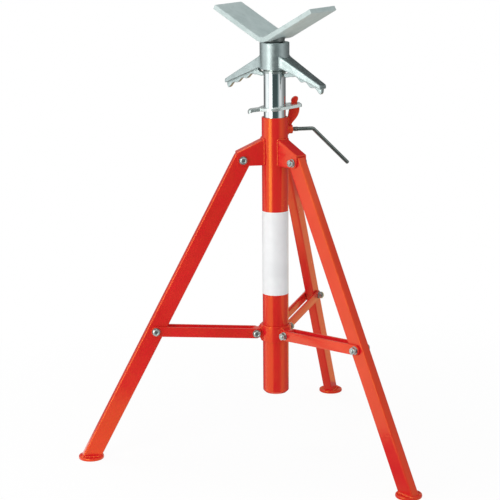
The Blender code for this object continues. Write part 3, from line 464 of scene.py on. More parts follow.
def label_film():
    """White film, faintly uneven where it lies on the tube."""
    material, tree, shader = node_tree("label_film")
    shade = ramp(tree, noise(tree, 30, 3), [(0.3, (0.80, 0.84, 0.86)), (0.7, (0.86, 0.90, 0.92))])
    tree.links.new(shade, shader.inputs["Base Color"])
    tree.links.new(
        ramp(tree, noise(tree, 80, 3), [(0.3, 0.30), (0.7, 0.42)]), shader.inputs["Roughness"]
    )
    bumped(
        tree, shader,
        (noise(tree, 45, 3, 0.5), 0.0005, 0.15),
        (noise(tree, 900, 2), 0.00002, 0.2),
    )
    return material


# Each material with its slot
RED, FILM = (red_enamel(), "red_paint"), (label_film(), "red_paint")
CHROME, CAST = (chrome(), "chrome"), (casting(), "cast_zinc")
PLATE = zinc("zinc_plating", (0.47, 0.575, 0.57), (0.57, 0.675, 0.67), 0.44, 0.35, 0.4, 0.05), "zinc_plate"
LOCK = zinc("lock_plate_zinc", (0.60, 0.68, 0.67), (0.72, 0.80, 0.78), 0.24, 0.25, 0.35, 0.7), "zinc_plate"
# Dark zinc for the head screw and its neck: a dull plated steel whose base is also darkened as painted
# shade for the shadow under the V plate.
DULL_SHADED_ZINC = zinc("dull_zinc_painted_shade", (0.15, 0.17, 0.17), (0.27, 0.30, 0.29), 0.42, 0.35, 0.5), "zinc_fixing"
FIXING = zinc("bright_zinc", (0.38, 0.44, 0.43), (0.52, 0.59, 0.56), 0.26, 0.25, 0.3), "zinc_fixing"
ROD = zinc("rod_zinc", (0.16, 0.19, 0.18), (0.26, 0.30, 0.28), 0.24, 0.25, 0.35), "zinc_fixing"


# Fasteners
def hexagon(flats, low, high, crown):
    """A nut or bolt head: r = f / cos of the angle from the nearest flat's middle, with
    the corners cut by a cone that starts at the inscribed circle, then a crown of
    (share of f, height under the top)."""
    a = once_round(72)
    f = flats / 2
    hexa = f / np.cos((a + math.pi / 6) % (math.pi / 3) - math.pi / 6)
    share, under = crown[0]
    cone = 0.55
    side_top = high - under - (hexa - share * f) * cone
    rows = [(0, low), (hexa, low), (hexa, side_top), (hexa * 0.995, side_top + 0.08)]
    rows += [(share * f, high - under) for share, under in crown]
    return np.stack([ring_row(r, a, z) for r, z in rows]), True, False


def threaded(radius, low, high, pitch, depth, taper, steps, rows):
    """A screw: r = radius - depth times the wave |2 ((z / pitch - a / 2 pi) mod 1) - 1|,
    its crests and roots cut flat, drawn in by depth over a taper at both ends. A row has
    this many steps round, and a pitch this many rows."""
    z = np.linspace(low, high, max(8, int((high - low) / pitch * rows)))[:, None]
    a = once_round(steps)[None]
    wave = np.abs((z / pitch - a / (2 * math.pi)) % 1 * 2 - 1)
    wave = np.clip(wave * 1.7 - 0.35, 0, 1)
    end = np.clip(np.minimum(z - low, high - z) / taper, 0, 1)
    points = ring_row(radius - depth * wave - depth * (1 - end), a, z)
    first, last = points[:1] * 0, points[:1] * 0
    first[..., 2], last[..., 2] = low, high
    return np.concatenate([first, points, last]), True, False


FLAT_CROWN = [(0.97, 0.0), (0.91, -0.02), (0, 0.0)]
DISHED_CROWN = [(0.95, 0.9), (0.84, 0.35), (0.74, 0.06), (0.68, 0.0)]
DISHED_CROWN += [(0.62, 0.1), (0.50, 0.9), (0, 1.1)]
BOLT_R, FLATS, WASHER_R, WASHER_BORE = 4.0, 12.6, 7.9, 4.1
# heights over the face that a bolt clamps
WASHER_FOOT, WASHER_TOP, NUT_SEAT = 0.3, 1.7, 1.6
HEAD_TOP, NUT_TOP, TAIL_FOOT, TAIL_TOP = 6.9, 8.1, 6.8, 10.3


def washer(face):
    """A flat ring on the clamped face."""
    return turned_ring(WASHER_R, WASHER_BORE, face + WASHER_FOOT, face + WASHER_TOP, 0.35, 3, 48)


def head_end(face):
    """Washer and head, outward from a face at this height."""
    return [washer(face), hexagon(FLATS, face + NUT_SEAT, face + HEAD_TOP, DISHED_CROWN)]


def nut_end(face):
    """Washer, nut and the bolt's threaded tail."""
    nut = hexagon(FLATS, face + NUT_SEAT, face + NUT_TOP, FLAT_CROWN)
    thread = dict(pitch=1.25, depth=0.55, taper=0.8, steps=36, rows=10)
    tail = threaded(BOLT_R, face + TAIL_FOOT, face + TAIL_TOP, **thread)
    return [washer(face), nut, tail]


ALONG_Y, AGAINST_Y = turn("X", -90), turn("X", 90)  # +Z laid on +Y and on -Y


def bolt(face):
    """A bolt along Y: its head, its nut and a plain shank between the two faces."""
    end = face + 1
    shank = turned([(0, -end), (BOLT_R, -end), (BOLT_R, end), (0, end)], 32)
    ends = placed(head_end(face), ALONG_Y) + placed(nut_end(face), AGAINST_Y)
    return ends + placed([shank], ALONG_Y)


# Tube, brackets and hook
def outer_tube():
    """The tube's wall turned: rounded upper rim, swaged and rolled lower end."""
    r, b, t, f, s = TUBE_R, TUBE_BORE, TUBE_TOP, TUBE_FOOT, SWAGE
    corners = [(r, t), (r, f + s), (r - s, f), (b - s, f), (b, f + s + 1.6), (b, t)]
    profile = softened(corners, (0.7, 1.2, 1.0, 0.8, 2.5, 0.9), 5)
    return [turned(profile, 160, closed=True)]


def web_height(x):
    """The sloping top of a bracket."""
    slope = (WEB_HIGH - WEB_LOW) / (PIVOT_X + BRACKET_NOSE - TUBE_R)
    return PIVOT_Z + WEB_HIGH - slope * (x - TUBE_R)


def bracket_grid(half, drop, bend):
    """One skin of the channel. Across: up one flange, round the bend, over the web and
    down again. Along: from the tube's wall to the outer end, whose lower corner is an
    arc round the pivot."""
    rise = np.linspace(0, 1, 12)
    fall = rise[::-1][1:]
    turnover = np.radians(np.linspace(0, 90, 7))[1:]
    flat = half - bend
    over = np.linspace(flat, -flat, 9)[1:]
    cos, sin = bend * np.cos(turnover), bend * np.sin(turnover)
    y = np.concatenate([0 * rise + half, flat + cos, over, -flat - sin, 0 * fall - half])
    # share of the way from the flange's foot to the bend, and the bend's depth under the web
    share = np.concatenate([rise, np.ones(len(y) - len(rise) - len(fall)), fall])
    below = [0 * rise + bend, bend - sin, 0 * over, bend - cos, 0 * fall + bend]
    x0 = np.sqrt((TUBE_R + 0.35) ** 2 - np.minimum(np.abs(y), FLANGE_OUTER) ** 2)[:, None]
    close_up = 0.24 * np.cos(np.linspace(0, math.pi / 2, 12)[1:])
    v = np.concatenate([np.linspace(0, 0.76, 14), 1 - close_up])[None]
    x = x0 + (PIVOT_X + BRACKET_NOSE - x0) * v
    foot = PIVOT_Z - np.sqrt(np.maximum(BRACKET_NOSE**2 - np.maximum(x - PIVOT_X, 0) ** 2, 0))
    top = web_height(x) - drop - np.concatenate(below)[:, None]
    z = foot + (top - foot) * share[:, None]
    return np.stack([x, y[:, None] + 0 * x, z], -1)


def bracket():
    """The channel's two skins joined, and the outer one's seam on the tube."""
    outer, inner = bracket_grid(FLANGE_OUTER, 0.0, 3.0), bracket_grid(EAR_INNER, 3.5, 1.2)
    return shell(outer, inner), outer[:, 0]


def hook_outline():
    """The latch hook's edge: a foot on the tube, a swelling back, a shoulder for the
    lock plate, a neck through its slot and an oval lobe above."""
    back = [(0.30, 0.00), (0.36, 0.08), (0.48, 0.13), (0.68, 0.22)]
    back += [(0.86, 0.33), (0.97, 0.45), (1.0, 0.56)]
    lobe = [(0.80, 0.70), (0.79, 0.80), (0.86, 0.86), (0.885, 0.93), (0.84, 0.98), (0.70, 1.0)]
    lobe += [(0.52, 0.985), (0.36, 0.93), (0.28, 0.865), (0.31, 0.80), (0.30, 0.70)]
    inner = [(0.17, 0.595), (0.09, 0.50), (0.03, 0.36)]

    def at(shares):
        return [(TUBE_R + HOOK_REACH * a, HOOK_FOOT + HOOK_HEIGHT * b) for a, b in shares]

    def shoulder(share):
        x = TUBE_R + HOOK_REACH * share
        return (x, HINGE_Z - 0.3 - (HINGE_X - x) * math.tan(math.radians(LATCH_TILT)))

    points = [(WALL, TUBE_TOP - 0.2), (WALL, HOOK_FOOT)] + at(back)
    points += [shoulder(0.985), shoulder(HOOK_NECK_OUT)] + at(lobe)
    points += [shoulder(HOOK_NECK_IN)] + at(inner)
    radii = [0.8] * 2 + [3] * 7 + [1.0, 0.4] + [2.5] * 10 + [0.5, 0.4] + [3] * 3
    return softened(points, radii, 5)


def boss():
    """A turned boss laid along X, in rings of (radius, x). The two rings at its foot are
    saddled to the tube: x = sqrt(R^2 - y^2)."""
    a = once_round(72)
    bore, side = 4.9, 8.5
    mouth = [(bore, 30.0), (bore, 33.5), (5.6, BOSS_FACE), (7.2, BOSS_FACE), (8.1, 34.0), (side, 33.1)]
    rows = [np.stack([x + 0 * a, r * np.cos(a), CLAMP_Z + r * np.sin(a)], -1) for r, x in mouth]
    for r in (side, bore):
        rows.append(on_round(WALL, r * np.cos(a), CLAMP_Z + r * np.sin(a)))
    return [(np.stack(rows), True, True)]


piece("dressed_outer_tube", placed(outer_tube(), STAND), RED, "stand", ["outer_tube"])
BRACKET_SHEETS, SEAM = bracket()
BRACKET_WELD = bead(SEAM + np.array([0.5, 0, 0]), 1.9, up=OUTWARD)
for k, azimuth in LEGS.items():
    at = station(azimuth)
    channel = placed(BRACKET_SHEETS, at)
    piece(f"dressed_bracket_{k}", channel, RED, "stand", [f"leg_bracket_{k}"], bevel=0.55)
    piece(f"bracket_weld_{k}", placed([BRACKET_WELD], at), RED, "stand", sharp=80)
    pivot = placed(bolt(FLANGE_OUTER), at @ shift(PIVOT_X, 0, PIVOT_Z))
    piece(f"dressed_bracket_bolt_{k}", pivot, FIXING, "stand", [f"bracket_bolt_{k}"])

CLAMP = station(CLAMP_AZIMUTH)
hook = placed(slab(hook_outline(), -3.1, 3.1, 1.1), CLAMP @ UPRIGHT)
piece("dressed_latch_hook", hook, RED, "stand", ["latch_hook"])
piece("dressed_clamp_boss", placed(boss(), CLAMP), RED, "stand", ["clamp_boss"])


def clamp_welds():
    """Beads up both sides of the hook's foot and round the boss's saddle."""
    hook_side, boss_side = 3.5, 8.9
    z = np.linspace(CLAMP_Z + 9.0, TUBE_TOP - 1.0, 12)
    seams = [on_round(WELD_WALL, side + 0 * z, z) for side in (-hook_side, hook_side)]
    a = np.linspace(0, 2 * math.pi, 60)
    saddle = on_round(WELD_WALL, boss_side * np.cos(a), CLAMP_Z + boss_side * np.sin(a))
    return [bead(seam, 1.5, up=OUTWARD) for seam in seams] + [bead(saddle, 1.4, up=OUTWARD)]


piece("clamp_welds", placed(clamp_welds(), CLAMP), RED, "stand", sharp=80)


def label():
    """A bare film round the tube, with 60 degrees of bare tube behind: angles to half a
    width on both sides of its middle, the half width drawn in by a corner's circle at its
    upper and lower end."""
    low, high, middle, half, corner = 315.0, 480.0, -71.0, 150.0, 6.0
    film_top, film_back = TUBE_R + 0.22, TUBE_R + 0.04
    curve = corner * (1 - np.cos(np.linspace(0, math.pi / 2, 7)))
    straight = np.linspace(low + corner, high - corner, 30)[1:-1]
    z = np.concatenate([low + curve, straight, high - curve[::-1]])
    near = np.clip(corner - np.minimum(z - low, high - z), 0, corner)
    arc_half = half - np.degrees((corner - np.sqrt(corner**2 - near**2)) / TUBE_R)
    a = np.radians(middle + arc_half[:, None] * np.linspace(-1, 1, 91)[None])
    return shell(ring_row(film_top, a, z[:, None]), ring_row(film_back, a, z[:, None]))


piece("bare_label", placed(label(), STAND), FILM, "stand", sharp=50)


# Legs and braces
def leg_section(inset, corner):
    """The leg's rounded rectangle, drawn in by an inset."""
    half_x, half_y = LEG_HALF_DEPTH - inset, LEG_HALF_WIDTH - inset
    corners = [(half_x, half_y), (-half_x, half_y), (-half_x, -half_y), (half_x, -half_y)]
    return spread(softened(corners, corner, 6), 3.0)


def leg():
    """A box section hanging down -Z from the pivot: z runs from the floor line to the
    chamfered top, each a function of x, and a pocket shows the open upper end."""
    lean = math.radians(LEAN)
    outer, inner = leg_section(0.0, 3.2), leg_section(LEG_WALL, 1.4)
    floor_line, under_web, rounded_top, pocket_depth = 3.9, 4.0, 10.5, 60.0

    def floor(x):
        return (floor_line - PIVOT_Z - x * math.sin(lean)) / math.cos(lean)

    def top(x):
        # the line of the bracket's underside, turned into the leg's frame
        out = np.array([math.cos(lean), math.sin(lean)])
        up = np.array([-math.sin(lean), math.cos(lean)])
        ends = [[end, web_height(end) - under_web] for end in (TUBE_R, PIVOT_X + BRACKET_NOSE)]
        ends = np.array(ends) - np.array([PIVOT_X, PIVOT_Z])
        (ax, az), (bx, bz) = [(e @ out, e @ up) for e in ends]
        return np.minimum(rounded_top, az + (bz - az) / (bx - ax) * (x - ax))

    def row(section, z):
        return np.concatenate([section, z[:, None]], 1)

    x0, x1 = outer[:, 0], inner[:, 0]
    body = [row(outer, floor(x0) + (top(x0) - floor(x0)) * t) for t in np.linspace(0, 1, 10)]
    rim = row(outer * 0.985, top(x0) + 0.15)
    pocket = [row(inner, top(x1)), row(inner, top(x1) - pocket_depth)]
    ends = row(outer * 0, floor(x0)), row(inner * 0, top(x1) - pocket_depth)
    start, end = [np.broadcast_to(flat.mean(0), rim.shape) for flat in ends]
    return [(np.stack([start, *body, rim, *pocket, end]), True, False)]


def foot():
    """A pressed disc: flat sole, rounded rim that stands a little over a shallow dish."""
    rim, dish = 5.6, 3.6
    corners = [(0, 0), (FOOT_R - 0.4, 0), (FOOT_R, 2.4), (FOOT_R - 0.6, rim), (FOOT_R - 3.2, rim)]
    corners += [(FOOT_R - 5.4, dish), (0, dish)]
    return [turned(softened(corners, (0, 1.0, 1.5, 1.4, 1.3, 1.6, 0), 5, closed=False), 120)]


def foot_weld():
    """A fat bead round the leg's foot, where it meets the disc."""
    x, y = LEG_HALF_DEPTH / math.cos(math.radians(LEAN)) + 0.7, LEG_HALF_WIDTH + 0.8
    loop = softened([(x, y), (-x, y), (-x, -y), (x, -y)], 4.0, 6)
    loop = np.concatenate([loop, loop[:1]])
    path = np.concatenate([loop + np.array([FOOT_CIRCLE, 0]), np.full((len(loop), 1), 4.3)], 1)
    return bead(path, 2.5, 0.2, 4.2)


def bar():
    """A flat bar: straight sides and two half circles."""
    near = arc((0, 0), BAR_HALF_WIDTH, 90, 270, 18)
    far = arc((BRACE_LENGTH, 0), BAR_HALF_WIDTH, -90, 90, 18)
    return slab(spread(np.concatenate([near, far]), 12.0), -BAR_HALF_THICK, BAR_HALF_THICK, 0.7, 3)


LEG_SHEETS, FOOT_SHEETS, BAR_SHEETS, FOOT_BEAD = leg(), foot(), bar(), foot_weld()
BAR_MIDDLE = BAR_OUTER - BAR_HALF_THICK
for k, azimuth in LEGS.items():
    body = f"leg_{k}"
    at = station(azimuth)
    hung = at @ shift(PIVOT_X, 0, PIVOT_Z) @ turn("Y", -LEAN)
    piece(f"dressed_leg_{k}", placed(LEG_SHEETS, hung), RED, body, [f"leg_{k}"], sharp=40)
    foot_sheets = placed(FOOT_SHEETS, at @ shift(FOOT_CIRCLE, 0, 0))
    piece(f"dressed_foot_{k}", foot_sheets, RED, body, [f"foot_{k}"], sharp=60)
    piece(f"foot_weld_{k}", placed([FOOT_BEAD], at), RED, body, sharp=80)
    brace = at @ shift(COLLAR_X, 0, COLLAR_Z) @ turn("Y", -BRACE_RISE)
    for side, y in (("a", BAR_MIDDLE), ("b", -BAR_MIDDLE)):
        flat = placed(BAR_SHEETS, brace @ shift(0, y, 0) @ UPRIGHT)
        piece(f"dressed_bar_{k}{side}", flat, RED, f"brace_{k}", [f"brace_bar_{k}{side}"])
    far = brace @ shift(BRACE_LENGTH, 0, 0)
    ends = ("head", head_end(BAR_OUTER), ALONG_Y), ("nut", nut_end(BAR_OUTER), AGAINST_Y)
    for part, sheets, way in ends:
        end, node = placed(placed(sheets, way), far), f"brace_bolt_{part}_{k}"
        piece(f"dressed_{node}", end, FIXING, f"brace_{k}", [node])
    hinge = placed(bolt(BAR_OUTER), at @ shift(COLLAR_X, 0, COLLAR_Z))
    piece(f"dressed_collar_bolt_{k}", hinge, FIXING, "collar", [f"collar_bolt_{k}"])


def collar():
    """A ring and three lugs, each lug a rounded slab that runs into the ring, with a
    bead along both of its roots."""
    nose, flared = 9.2, 12.6
    sheets = [turned_ring(COLLAR_R, COLLAR_BORE, -16.9, 15.0, (0.9, 0.9, 0.5, 0.5), 5, 144)]
    flare = softened([(27, flared), (30, flared), (33, nose), (38, nose)], 1.2, 4, closed=False)
    outline = np.concatenate([flare, arc((COLLAR_X, 0), nose, 90, -90, 20), (flare * [1, -1])[::-1]])
    lug = placed(slab(spread(outline, 6.0), -LEG_HALF_WIDTH, LEG_HALF_WIDTH, 1.0), UPRIGHT)
    y, z = LEG_HALF_WIDTH + 0.3, flared + 0.2
    root = softened([(y, -z), (y, z), (-y, z), (-y, -z)], 2.0, 4)
    root = np.concatenate([root, root[:1]])
    lug.append(bead(on_round(COLLAR_R + 0.1, *root.T), 1.7, 0.18, 3.4, up=OUTWARD))
    for azimuth in LEGS.values():
        sheets += placed(lug, turn("Z", azimuth))
    return placed(sheets, STAND @ shift(0, 0, COLLAR_Z))


piece("dressed_collar", collar(), RED, "collar", ["collar"])


# Clamp screw and lock plate
THROUGH_BOSS = shift(0, 0, CLAMP_Z) @ turn("Y", 90)  # +Z laid on +X at the clamp's height
CLAMP_THREAD = dict(pitch=1.75, depth=0.7, steps=40, rows=10)


def stud():
    """The screw's part inside the boss."""
    screw = threaded(4.7, 21.5, BOSS_FACE + 1.2, taper=1.0, **CLAMP_THREAD)
    return placed([screw], CLAMP @ THROUGH_BOSS)


def lever():
    """A rod: straight out, a bend of 45.2 degrees, then down, ending in a rounded tip."""
    drop, bend, out, down, radius = math.radians(45.2), 7.5, 40.5, 99.2, 3.7
    corner = BOSS_FACE + out
    before = bend * math.tan(drop / 2)
    turns = np.linspace(0, drop, 12)
    curve = np.stack([corner - before + bend * np.sin(turns), -bend * (1 - np.cos(turns))], 1)
    end = np.array([corner + down * math.cos(drop), -down * math.sin(drop)])
    shares = np.array([0.5, 0.965, 0.98, 0.99, 0.996, 1.0])[:, None]
    rest = curve[-1:] + (end - curve[-1:]) * shares
    line = np.concatenate([[[44.0, 0], [45.5, 0], [48.5, 0]], curve, rest])
    path = np.stack([line[:, 0], 0 * line[:, 0], line[:, 1] + CLAMP_Z], 1)
    size = np.ones(len(path))
    size[-5:] = 1.0, 0.96, 0.86, 0.7, 0.45
    rod = carried(circle(radius, 28), path, up=(0.0, 1.0, 0.0), size=size)
    screw = threaded(4.5, BOSS_FACE + 1.5, BOSS_FACE + 11.5, taper=1.6, **CLAMP_THREAD)
    return placed([rod] + placed([screw], THROUGH_BOSS), CLAMP)


def lock_plate():
    """A plate round the mast. On rays from the mast's axis each section runs out over the
    upper face to the edge and back under it: distance d at height z less the dip, a
    parabola that starts some way before the tab's end. All rims are rounded. The second
    result is the slot for the hook's neck."""
    tilt = math.radians(LATCH_TILT)
    t, bore, ring = 6.0, 21.9, 30.7
    mast_x = -(HINGE_X - t / 2 * math.sin(tilt)) / math.cos(tilt)
    heel, corner, wide, narrow = 3.2, 6.0, 16.5, 8.5
    tab = mast_x - ring - 21.5
    root = [(mast_x - 29.5, narrow * 1.1), (mast_x - ring - 2.7, narrow)]
    side = np.concatenate([
        arc((heel - corner, wide - corner), corner, 0, 75, 8),
        arc((mast_x, 0), ring, 62, 158, 40),
        root + [(tab + 2.6, narrow), (tab, narrow * 0.62)],
    ])
    loop = np.concatenate([side, (side * [1, -1])[::-1]])
    centre = np.array([mast_x, 0.0])
    ray = spread(softened(loop, 1.6, 4), 0.8) - centre
    far = np.linalg.norm(ray, axis=1)
    ray /= far[:, None]
    rim, hem = 0.9, 0.5
    a = np.linspace(0, math.pi / 2, 5)[:, None]
    start, finish = 1 - np.cos(a), 1 - np.sin(a)
    # steps across the upper and lower face, so that the tab can dip
    across = np.linspace(0, 1, 14)[1:-1][:, None]
    flat = bore + hem + (far - rim - bore - hem) * across
    distance = np.concatenate([
        bore + hem * start + 0 * far, flat, far - rim * finish,
        far - rim * start, flat[::-1], bore + hem * finish + 0 * far,
    ])
    z = np.concatenate([
        t - hem * finish, t + 0 * across, t - rim * start,
        rim * finish, 0 * across, hem * start,
    ])
    xy = centre + ray * distance[..., None]
    dip_length, dip_depth = 9.0, 3.4
    dip = dip_depth * np.clip((tab + dip_length - xy[..., 0]) / dip_length, 0, 1) ** 2
    points = np.concatenate([xy, (z - dip)[..., None]], -1)
    lain = CLAMP @ shift(HINGE_X, 0, HINGE_Z) @ turn("Y", -LATCH_TILT)
    y, play = 4.3, 1.2
    near_end = TUBE_R + HOOK_REACH * HOOK_NECK_IN - HINGE_X - play
    far_end = TUBE_R + HOOK_REACH * HOOK_NECK_OUT - HINGE_X + play
    slot = softened([(near_end, -y), (far_end, -y), (far_end, y), (near_end, y)], 1.2, 4)
    return placed([(points, True, True)], lain), placed(slab(slot, -2.0, t + 2.0, 0.01, 1), lain)


piece("dressed_clamp_stud", stud(), FIXING, "clamp_stud", ["clamp_stud"])
piece("dressed_clamp_lever", lever(), ROD, "clamp_lever", ["clamp_lever"], sharp=50)
plate_sheets, plate_slot = lock_plate()
piece("dressed_lock_plate", plate_sheets, LOCK, "lock_plate", ["lock_plate"], cut=plate_slot, sharp=40)


# Mast, nut and head
mast = turned_ring(MAST_R, MAST_BORE, MAST_FOOT, MAST_TOP, (0.8, 0.9, 0.6, 0.6), 5, 192)
piece("dressed_mast", placed([mast], STAND), CHROME, "mast", ["mast_tube"])


def thrust_washer():
    """A turned ring with a deep groove under the nut."""
    low, top, r, bore, groove = THRUST_FOOT, THRUST_TOP, THRUST_R, NUT_BORE, THRUST_R - 3.4
    corners = [(r, low), (r, low + 3.4), (groove, low + 3.6), (groove, top), (bore, top), (bore, low)]
    return [turned(softened(corners, 0.35, 3), 144, closed=True)]


piece("dressed_thrust_washer", placed(thrust_washer(), STAND), FIXING, "thrust", ["thrust_washer"])


def wing_line(x, root, nose):
    """A straight line through the heights that two shares of the nut's height give at
    the wing's root and at its nose."""
    return NUT_HEIGHT * (root + (nose - root) * (x - WING_ROOT) / (WING_NOSE - WING_ROOT))


def wing():
    """Rounded rectangles along X: the side is the half width less a corner r, plus
    r cos a; the height the half height less r, plus r sin a. The half width falls
    evenly to the tip, all sides flare by exp(-distance from the barrel), and the nose
    draws in by r (1 - cos t) while x goes on by r sin t."""
    r, fillet_side, fillet_height, fade = 2.2, 1.0, 1.4, 1.3
    t = np.linspace(0, math.pi / 2, 7)[1:]
    nose = WING_REACH - WING_NOSE
    # close steps where the flare is, then wider ones, then the nose
    x = [np.linspace(15, 40, 26), np.linspace(40, WING_NOSE, 24)[1:], WING_NOSE + nose * np.sin(t)]
    x = np.concatenate(x)[:, None]
    drawn = np.concatenate([np.zeros(len(x) - len(t)), nose * (1 - np.cos(t))])[:, None]
    way = (x - WING_ROOT) / (WING_REACH - WING_ROOT)
    half = WING_ROOT_HALF + (WING_TIP_HALF - WING_ROOT_HALF) * way - drawn
    low, high = wing_line(x, *WING_UNDER), wing_line(x, *WING_UPPER)
    mid, tall = (low + high) / 2, (high - low) / 2 - drawn
    a = np.radians(np.concatenate([np.linspace(90 * k, 90 * k + 90, 6) for k in range(4)]))[None]
    right = np.repeat([1, -1, -1, 1], 6)[None]
    over = np.repeat([1, 1, -1, -1], 6)[None]
    y = right * (half - r) + r * np.cos(a)
    flare = np.exp(-np.maximum(np.hypot(x, y) - NUT_R, 0) / fade)
    y = y + fillet_side * flare * np.cos(a)
    z = mid + over * (tall - r) + (r + fillet_height * flare) * np.sin(a)
    points = np.stack([x + 0 * y, y, z], -1)
    steps = np.linspace(0, 1, 5)[:-1][:, None, None]
    ahead = np.roll(points, -1, 1)
    points = np.moveaxis(points + (ahead - points) * steps[..., None], 0, 2).reshape(len(points), -1, 3)
    return [(points, True, False), (points[0], None, None), (points[-1], None, None)]


def rib():
    """The rib under a wing, drawn from the side: an inner end curled in beside the mast,
    then cosine scallops between four bumps, then a hooked end, an ellipse's quarter."""
    curl = [(33.0, -4.6), (29.0, -6.6), (25.5, -7.2), (23.6, -9.0)]
    curl += [(23.2, -11.6), (24.6, -13.8), (28.0, -14.7)]
    bumps, depths = WING_REACH * np.array([0.369, 0.562, 0.756, 0.949]), [8.8, 8.8, 8.8, 11.4]
    scallop = 4.6
    x = np.linspace(bumps[0], bumps[3], 64)
    near = np.clip(np.searchsorted(bumps, x, "right") - 1, 0, 2)
    along = (x - bumps[near]) / (bumps[near + 1] - bumps[near])
    depth = np.interp(x, bumps, depths) - scallop * (1 - np.cos(2 * math.pi * along)) / 2
    t = np.linspace(0, math.pi / 2, 10)[1:]
    end = 0.992 * WING_REACH
    x = np.concatenate([x, bumps[3] + (end - bumps[3]) * np.sin(t)])
    depth = np.concatenate([depth, depths[3] * np.cos(t)])
    foot = np.stack([x, wing_line(x, *WING_UNDER) - depth], 1)
    back = np.array([end, 36.0])
    inside = np.stack([back, wing_line(back, *WING_UNDER) + 2.0], 1)
    curl = softened(curl, 1.6, 4, closed=False)
    return slab(np.concatenate([curl, foot, inside]), -RIB_HALF, RIB_HALF, 1.3)


def wing_nut():
    """A turned barrel with two wings and their ribs."""
    sheets = [turned_ring(NUT_R, NUT_BORE, 0, NUT_HEIGHT, (1.6, 1.3, 1.4, 1.0), 7, 192)]
    for side in (0, 180):
        sheets += placed(wing() + placed(rib(), UPRIGHT), turn("Z", side))
    return placed(sheets, STAND @ shift(0, 0, NUT_FOOT) @ turn("Z", WING_AZIMUTH))


piece("dressed_wing_nut", wing_nut(), CAST, "wing_nut", ["wing_nut"], sharp=50)


def trough(offset, steps=14):
    """The V across its arms, this far under its upper face: two straight arms and an
    arc of radius bend + offset between them."""
    cos, sin = math.cos(math.radians(ARM_SLOPE)), math.sin(math.radians(ARM_SLOPE))
    bend_z = ARM_THICK + BEND
    tip_x, tip_z = ARM * cos + offset * sin, bend_z - BEND / cos + ARM * sin - offset * cos
    middle = arc((0, bend_z), BEND + offset, 270 - ARM_SLOPE, 270 + ARM_SLOPE, steps)
    return np.concatenate([[(-tip_x, tip_z)], middle, [(tip_x, tip_z)]])


def v_plate():
    """Thick plate: upper and lower line of the trough carried along the pipe's axis."""
    y = np.linspace(-ARM_HALF_WIDTH, ARM_HALF_WIDTH, 9)
    share = np.linspace(0, 1, 8)[:, None]

    def skin(line):
        left, right = line[0] + (line[1] - line[0]) * share, line[-2] + (line[-1] - line[-2]) * share
        line = np.concatenate([left[:-1], line[1:-1], right[1:]])
        return np.stack([line[:, :1] + 0 * y, y + 0 * line[:, :1], line[:, 1:] + 0 * y], -1)

    return shell(skin(trough(0.0)), skin(trough(ARM_THICK)))


HEAD = STAND @ turn("Z", HEAD_AZIMUTH)
plate = placed(v_plate(), HEAD @ shift(0, 0, PLATE_FOOT))
piece("dressed_v_plate", plate, PLATE, "head", ["v_plate"], bevel=1.1, segments=3)


def head_screw():
    """The screw, and a neck of rings (radius, height) whose upper rim follows the plate's
    underside."""
    screw = threaded(SCREW_R, -161.0, -0.5, pitch=6.35, depth=1.9, taper=3.0, steps=48, rows=14)
    a = once_round(96)
    under = trough(ARM_THICK + 0.3, 40) + np.array([0, PLATE_FOOT - NECK_FOOT])
    foot = [(0, -1.0), (15.5, -1.0), (15.7, 0.2), (NECK_R - 0.8, 0.7), (NECK_R, 1.3)]
    rows = [ring_row(r, a, z) for r, z in foot]
    rows += [ring_row(r, a, np.interp(r * np.cos(a), *under.T)) for r in (NECK_R, 0)]
    return placed([screw, (np.stack(rows), True, False)], HEAD @ shift(0, 0, NECK_FOOT))


# The screw and its neck wear the dark zinc, whose base holds painted shade from the V plate above.
piece("dressed_head_screw", head_screw(), DULL_SHADED_ZINC, "head", ["head_screw"], sharp=45)

for k in LEGS:
    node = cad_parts[f"brace_bolt_shank_{k}"]
    node.data.materials.clear()
    node.data.materials.append(FIXING[0])


# Stage, light and camera
VIEW = -71.5  # azimuth of the camera, seen from the stand


def around(azimuth, distance, height):
    """Places at azimuths counted from the camera's, round the stand's axis, in metres."""
    a = np.radians(VIEW + np.asarray(azimuth, float))
    return np.stack([distance * np.cos(a), STAND_Y * MM + distance * np.sin(a), height + 0 * a], -1)


def stage_sheet(name, points):
    """A dull sheet that belongs to the stage, its material's nodes and its shader."""
    mesh = bpy.data.meshes.new(name)
    faces = quads(*points.shape[:2], False, False)
    mesh.from_pydata(points.reshape(-1, 3).tolist(), [], faces.tolist())
    obj = linked(name, mesh)
    material, tree, shader = node_tree(name)
    constants(shader, {"Specular IOR Level": 0.0, "Roughness": 0.9})
    obj.data.materials.append(material)
    return obj, tree, shader


def worked_out(tree, operation, first, second):
    """Two sockets multiplied, or the greater of them."""
    node = tree.nodes.new("ShaderNodeMath")
    node.operation = operation
    tree.links.new(first, node.inputs[0])
    tree.links.new(second, node.inputs[1])
    return node.outputs[0]


def backdrop_rays(tree):
    """1 for rays that show the background: from the camera, or by way of metal or glass."""
    ray = tree.nodes.new("ShaderNodeLightPath").outputs
    last = worked_out(tree, "MAXIMUM", ray["Is Camera Ray"], ray["Is Glossy Ray"])
    return worked_out(tree, "MAXIMUM", last, ray["Is Transmission Ray"])


def shown(tree, factor, first, second, output):
    """Two shaders mixed by a factor, at the output."""
    mix = tree.nodes.new("ShaderNodeMixShader")
    tree.links.new(factor, mix.inputs[0])
    tree.links.new(first.outputs[0], mix.inputs[1])
    tree.links.new(second.outputs[0], mix.inputs[2])
    tree.links.new(mix.outputs[0], output.inputs["Surface"])


